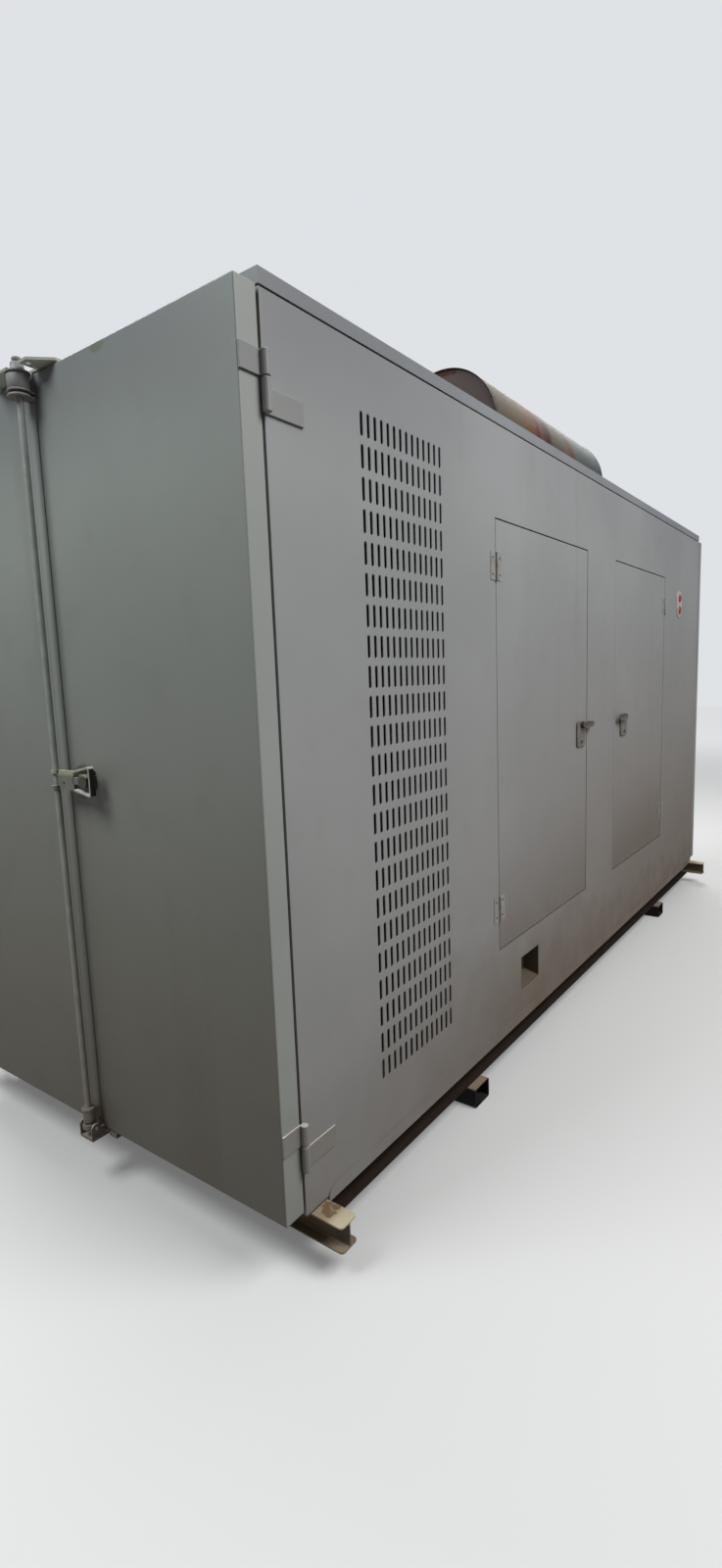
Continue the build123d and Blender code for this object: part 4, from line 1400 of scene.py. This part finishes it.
    def catch(self) -> Surface:
        """A flat bar bent into an open loop, on a post and a foot plate.

        The bar's middle line is a polygon with its two outer corners swept as arcs;
        its faces lie half a thickness to each side along the line's normal.

        Returns:
            The surface.
        """
        z, bar, tall = self.handle_z, self.catch_bar, self.post_half
        end, half = self.rod_y - self.length - self.catch_clear, bar / 2
        start = end + self.catch_length
        mouth = np.array([start, z + self.catch_mouth / 2 - half])
        bend = np.array([end + half, z + self.catch_flare / 2 - half])
        lean = (mouth - bend) / np.linalg.norm(mouth - bend)
        first, last = bend + self.catch_corner * lean, bend - self.catch_corner * np.array([0.0, 1.0])
        share = np.linspace(0.0, 1.0, 7)[:, None]
        arc = (1 - share) ** 2 * first + 2 * share * (1 - share) * bend + share**2 * last
        upper = np.concatenate([[mouth], arc])
        line = np.concatenate([upper, upper[::-1] * (1.0, -1.0) + (0.0, 2 * z)])
        way = np.gradient(line, axis=0)
        way /= np.linalg.norm(way, axis=1)[:, None]
        normal = np.stack([way[:, 1], -way[:, 0]], -1) * half
        low = self.near - self.catch_reach
        high = low + self.catch_depth
        edges = ((line - normal, low), (line + normal, low), (line + normal, high), (line - normal, high))
        skin = np.stack([lift(flat, Axis.X, level) for flat, level in edges], 1)
        surface = Surface().rings(skin, capped=True)
        post, face = end + self.post_inset, self.near - self.foot_clear
        tail, (bar_lap, arm_lap) = post + self.post_length, self.post_laps
        surface.block((high - bar_lap, end, z - tall), (high + bar, tail, z + tall))
        surface.block((high + bar - arm_lap, post, z - tall), (face, tail, z + tall))
        foot = rounded_box(*self.foot) + (post + self.foot[0] / 2, z)
        return surface.prism(foot, Axis.X, self.near - bar, face)

    def build(self) -> None:
        """Makes the rod, its guides, the keeper, the handle and the catch."""
        rod = Surface().lathe(self.rod_steps, (self.rod_x, self.rod_y), Axis.Z, 40)
        lobe = drum(self.lobe, *self.lobe_levels, self.lobe_rim)
        rod.lathe(lobe, (self.rod_x + self.lobe_offset, self.rod_y), Axis.Z, 24)
        rod.piece("lock_rod_turned", Skin.ROD, "lock_rod", "lock_rod")
        self.welded_guides().piece("rod_guides_welded", Skin.ZINC, "end_door_front", "rod_guides")
        for name, made, skin, body, node in (
            ("keeper_welded", self.keeper(), Skin.KEEPER, "housing", "lock_keeper"),
            ("lock_handle_forked", self.handle(), Skin.HANDLE, "lock_rod", "lock_handle"),
            ("handle_catch_bent", self.catch(), Skin.CATCH, "end_door_front", "handle_catch"),
        ):
            made.piece(name, skin, body, node, bevel=0.0008)


@dataclass(frozen=True)
class ServiceDoors(Housing):
    """The two doors in the long side, with butt hinges and lever latches."""

    starts: tuple[float, float] = (-0.995, 0.392)
    width: float = 0.965
    depth: float = 0.040
    low: float = 0.517
    high: float = 2.143
    gap: float = 0.005
    butt_levels: tuple[float, float] = (0.684, 1.976)
    butt_height: float = 0.100
    butt_wing: float = 0.036
    butt_sheet: float = 0.0025
    butt_radius: float = 0.0065
    butt_clear: float = 0.00015
    wing_clear: float = 0.001
    wing_corner: float = 0.003
    wing_curl: float = 0.0015
    knuckle_rim: float = 0.0008
    screw_share: float = 0.55
    screw_lift: float = 0.030
    screw_dome: Profile = ((0.0, 0.0022), (0.0022, 0.0020), (0.0040, 0.0010), (0.0046, 0.0), (0.0, 0.0))
    latch_insets: tuple[float, float] = (0.090, 0.148)
    latch_z: float = 1.295
    latch_depth: float = 0.009
    latch_plate: tuple[float, float, float] = (0.104, 0.118, 0.014)
    key_drop: float = 0.038
    key_radii: tuple[float, float] = (0.0085, 0.0060)
    key_depth: float = 0.002
    lever_rise: float = 0.041
    lever_length: float = 0.148
    lever_boss: float = 0.016
    lever_neck: float = 0.006
    lever_middle: float = 0.007
    lever_thick: float = 0.014
    lever_tall: float = 0.034
    lever_taper: float = 0.008
    lever_clear: float = 0.0003
    lever_round: float = 0.32
    lever_blunt: int = 12
    lever_ends: float = 0.06

    def doors(self) -> list[tuple[str, int, float, float, float]]:
        """Lists both doors.

        Returns:
            Each door's name, hand, start, hinge line and latch place along the housing.
        """
        (near, far), (near_inset, far_inset) = self.starts, self.latch_insets
        return [
            ("near", 1, near, near - self.gap / 2, near + self.width - near_inset),
            ("far", -1, far, far + self.width + self.gap / 2, far + far_inset),
        ]

    def wings(self, axis: float, hand: int, upper: bool, side: Side) -> Surface:
        """Wings and knuckles on one side of a hinge line.

        Args:
            axis: Where the line is along the housing.
            hand: 1 for the wing that lies further along, -1 for the nearer one.
            upper: Whether these are the upper knuckles.
            side: The long side.

        Returns:
            The surface.
        """
        surface, r, out = Surface(), self.butt_radius, side * self.half
        face, half = out + side * self.butt_sheet, self.butt_height / 2
        wing = rounded_box(self.butt_wing, self.butt_height, self.wing_corner, 4)
        for z in self.butt_levels:
            middle = axis + hand * (r + self.wing_clear + self.butt_wing / 2)
            surface.prism(wing + (middle, z), Axis.Y, out, face)
            a, b = (z + self.butt_clear, z + half) if upper else (z - half, z - self.butt_clear)
            surface.lathe(drum(r, a, b, self.knuckle_rim), (axis, out + side * r), Axis.Z, 24)
            surface.block((axis, out, a), (axis + hand * (r + self.wing_curl), face, b))
        return surface

    def screws(self, axis: float, hand: int, side: Side) -> Surface:
        """Two pan-head screws to a wing, each a low dome.

        Args:
            axis: Where the hinge line is along the housing.
            hand: 1 for the wing that lies further along, -1 for the nearer one.
            side: The long side.

        Returns:
            The surface.
        """
        surface, out = Surface(), self.half + self.butt_sheet
        dome = [(r, side * (out + h)) for r, h in self.screw_dome]
        x = axis + hand * (self.butt_radius + self.wing_clear + self.butt_wing * self.screw_share)
        for z in self.butt_levels:
            for lift_by in (-self.screw_lift, self.screw_lift):
                surface.lathe(dome, (x, z + lift_by), Axis.Y, 16)
        return surface

    def case(self, x: float, side: Side) -> Surface:
        """The escutcheon: a rounded plate."""
        outline, out = rounded_box(*self.latch_plate, 6) + (x, self.latch_z), side * self.half
        return Surface().prism(outline, Axis.Y, out, out + side * self.latch_depth)

    def keyhole(self, x: float) -> Surface:
        """The lock barrel: a ring round a dark hole, low on the plate.

        Args:
            x: Its middle along the housing.

        Returns:
            The surface.
        """
        outer, inner = (disc(r, 24) + (x, self.latch_z - self.key_drop) for r in self.key_radii)
        out = -self.half - self.latch_depth
        return Surface().tube(outer, inner, Axis.Y, out - self.key_depth, out)

    def lever(self, x: float, hand: int, side: Side) -> Surface:
        """The lever: rounded boxes along a line, less tall to the tip and drawn in at both ends.

        Args:
            x: Where its boss is along the housing.
            hand: 1 for a lever that points along the housing, -1 for the other way.
            side: The long side.

        Returns:
            The surface.
        """
        z, boss = self.latch_z + self.lever_rise, self.lever_boss
        foot = self.half + self.latch_depth + self.lever_clear
        neck = foot + self.lever_neck
        turned = [(0.0, side * foot), (boss, side * foot), (boss, side * neck), (0.0, side * neck)]
        surface = Surface().lathe(turned, (x, z), Axis.Y, 32)
        share = np.linspace(0, 1, 12)[:, None]
        ends = np.sqrt(np.clip(1 - (2 * share - 1) ** self.lever_blunt, self.lever_ends, 1))
        section = rounded_box(1.0, 1.0, self.lever_round, 4)
        reach = x + hand * (self.lever_length * share - boss) + 0 * section[:, 0]
        deep = side * (neck + self.lever_middle + self.lever_thick * ends * section[:, 0])
        tall = z + (self.lever_tall - self.lever_taper * share) * ends * section[:, 1]
        return surface.rings(np.stack([reach, deep, tall], -1), capped=True)

    def build(self) -> None:
        """Makes both doors and their hardware, and repeats that, shut, on the hidden side."""
        fixed, wings, screws, cases, levers = (Surface() for _ in range(5))
        for name, hand, start, axis, x in self.doors():
            body, turns = f"service_door_{name}", f"latch_lever_{name}"
            far_corner = (start + self.width, self.depth - self.half, self.high)
            slab = Surface().block((start, -self.half, self.low), far_corner)
            slab.piece(f"door_skin_{name}", Skin.SERVICE, body, body, bevel=0.0022)
            moving = self.wings(axis, hand, True, Side.FRONT)
            moving.piece(f"butt_wings_{name}", Skin.WING, body, f"{body}_hinges")
            self.screws(axis, hand, Side.FRONT).piece(f"butt_screws_{name}", Skin.SCREW, body)
            self.screws(axis, -hand, Side.FRONT).piece(f"frame_screws_{name}", Skin.SCREW, "housing")
            case = self.case(x, Side.FRONT)
            case.piece(f"latch_case_{name}", Skin.CHROME, body, f"latch_plate_{name}", bevel=0.002)
            self.keyhole(x).piece(f"lock_barrel_{name}", Skin.DARK, body, bevel=0.0004)
            lever = self.lever(x, hand, Side.FRONT)
            lever.piece(f"latch_handle_{name}", Skin.LEVER, turns, turns, smooth=50)
            fixed.join(self.wings(axis, -hand, False, Side.FRONT))
            for way in (-1, 1):
                wings.join(self.wings(axis, way, way == hand, Side.BACK))
                screws.join(self.screws(axis, way, Side.BACK))
            cases.join(self.case(x, Side.BACK))
            levers.join(self.lever(x, hand, Side.BACK))
        fixed.piece("butt_wings_fixed", Skin.WING, "housing", "service_hinge_plates")
        wings.piece("other_side_butt_wings", Skin.WING, "housing")
        screws.piece("other_side_screws", Skin.SCREW, "housing")
        cases.piece("other_side_latch_cases", Skin.CHROME, "housing", bevel=0.002)
        levers.piece("other_side_levers", Skin.LEVER, "housing", smooth=50)


@dataclass(frozen=True)
class StopButtons(Housing):
    """The pale plate with two round red buttons."""

    x: float = 1.722
    z: float = 2.006
    plate: tuple[float, float, float] = (0.120, 0.176, 0.059)
    depth: float = 0.004
    button: float = 0.024
    spacing: float = 0.078
    dome: Profile = (
        (0.0, 0.009), (0.55, 0.0086), (0.85, 0.0072), (0.97, 0.005), (1.0, 0.003), (1.0, 0.0), (0.0, 0.0)
    )

    def build(self) -> None:
        """Makes the plate and the domed buttons."""
        face = -self.half - self.depth
        plate = Surface().prism(rounded_box(*self.plate, 12) + (self.x, self.z), Axis.Y, face, -self.half)
        plate.piece("stop_plate", Skin.PLATE, "housing", "button_plate", bevel=0.001)
        profile = [(share * self.button, face - height) for share, height in self.dome]
        buttons = Surface()
        for z in (self.z - self.spacing / 2, self.z + self.spacing / 2):
            buttons.lathe(profile, (self.x, z), Axis.Y, 36)
        buttons.piece("stop_button_caps", Skin.RED, "housing", "stop_buttons", smooth=40)


@dataclass(frozen=True)
class Lamp:
    """One soft square lamp, with the place that it points at."""

    name: str
    place: Point
    target: Point
    size: float
    watts: float
    tint: Colour = (1.0, 0.995, 0.985)

    def hang(self) -> None:
        """Adds the lamp."""
        light = bpy.data.lights.new(self.name, "AREA")
        light.shape, light.size, light.energy, light.color = "SQUARE", self.size, self.watts, self.tint
        made = placed(self.name, light)
        made.location = self.place
        way = Vector(self.target) - Vector(self.place)
        made.rotation_euler = way.to_track_quat("-Z", "Y").to_euler()


@dataclass(frozen=True)
class Stage:
    """Floor, light and camera."""

    eye: Point = (-3.49097, -2.06141, 1.57868)
    yaw: float = 0.6411
    pitch: float = -0.1405
    roll: float = -0.0372
    focal: float = 739.27
    picture_height: float = 1600.0
    sensor: float = 36.0
    floor_half: float = 30.0
    floor_fade: tuple[float, float] = (3.5, 15.0)
    floor_glow: tuple[Colour, Colour] = ((0.14, 0.14, 0.14), (0.60, 0.61, 0.62))
    floor_tones: tuple[Colour, Colour] = ((0.10, 0.085, 0.072), (0.55, 0.55, 0.545))
    sky_tones: tuple[Colour, Colour] = ((0.19, 0.20, 0.21), (0.74, 0.76, 0.79))
    lamps: tuple[Lamp, ...] = (
        Lamp("side_lamp", (-0.6, -4.9, 5.9), (-0.2, -0.8, 1.8), 3.4, 365.0),
        Lamp("end_lamp", (-4.6, 0.75, 5.2), (-2.3, 0.1, 2.1), 2.0, 168.0, (0.95, 1.0, 0.985)),
        Lamp("other_side_lamp", (-0.2, 4.9, 5.9), (0.0, 0.8, 1.8), 3.4, 350.0),
        Lamp("far_end_lamp", (4.7, 0.2, 5.2), (2.3, 0.0, 2.0), 2.2, 165.0),
    )

    def camera(self) -> None:
        """Sets the camera from its three turns."""
        flat, drop = math.cos(self.pitch), math.sin(self.pitch)
        ahead = np.array([flat * math.cos(self.yaw), flat * math.sin(self.yaw), drop])
        level = np.array([math.sin(self.yaw), -math.cos(self.yaw), 0.0])
        upright = np.cross(level, ahead)
        right = math.cos(self.roll) * level + math.sin(self.roll) * upright
        up = -math.sin(self.roll) * level + math.cos(self.roll) * upright
        lens = bpy.data.cameras.new("camera")
        lens.sensor_fit, lens.sensor_height = "VERTICAL", self.sensor
        lens.lens = self.focal / self.picture_height * self.sensor
        made = placed("camera", lens)
        turned = np.column_stack([right, up, -ahead, self.eye])
        made.matrix_world = Matrix([*turned.tolist(), [0.0, 0.0, 0.0, 1.0]])
        bpy.context.scene.camera = made

    def floor(self) -> None:
        """A pale floor that fades into the backdrop, and bounces the light of dry earth.

        What the camera sees of it, also off gloss, is paler than what lights the housing.
        """
        half = self.floor_half
        corners = [(-half, -half, 0), (-half, half, 0), (half, -half, 0), (half, half, 0)]
        mesh = bpy.data.meshes.new("floor")
        mesh.from_pydata(corners, [], [[0, 2, 3, 1]])
        sheet = Sheet(bpy.data.materials.new("floor_pale"))
        rays = ("Is Camera Ray", "Is Glossy Ray", "Is Transmission Ray")
        direct, glossy, through = (sheet.node("LightPath", {}, ray) for ray in rays)
        seen = direct.most(glossy).most(through)
        away = sheet.node("VectorMath", {0: sheet.place()}, "Value", operation="LENGTH")
        shown = sheet.mix(away.rise(*self.floor_fade), *self.floor_glow)
        glow = {"Emission Color": sheet.mix(seen, (0.0, 0.0, 0.0), shown), "Emission Strength": 1.0}
        mesh.materials.append(sheet.finish(sheet.mix(seen, *self.floor_tones), 0.9, **glow))
        placed("floor", mesh)

    def sky(self) -> None:
        """A plain pale backdrop; the light that it gives is weaker."""
        sheet = Sheet(bpy.data.worlds.new("sky"))
        seen = sheet.node("LightPath", {}, "Is Camera Ray")
        sheet.feed({"Color": sheet.mix(seen, *self.sky_tones)})
        bpy.context.scene.world = sheet.owner

    def build(self) -> None:
        """Sets camera, floor, sky and lamps."""
        self.camera()
        self.floor()
        self.sky()
        for lamp in self.lamps:
            lamp.hang()
        bpy.context.scene.view_settings.view_transform = "Standard"


def main() -> None:
    """Loads the frame and builds the stage and every sub-assembly."""
    logging.basicConfig(level=logging.INFO, format="%(message)s")
    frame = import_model()
    Stage().build()
    for part in (Cladding, Base, Silencer, EndDoors, LockGear, ServiceDoors, StopButtons):
        part(frame["nodes"]).build()


if __name__ == "__main__":
    main()
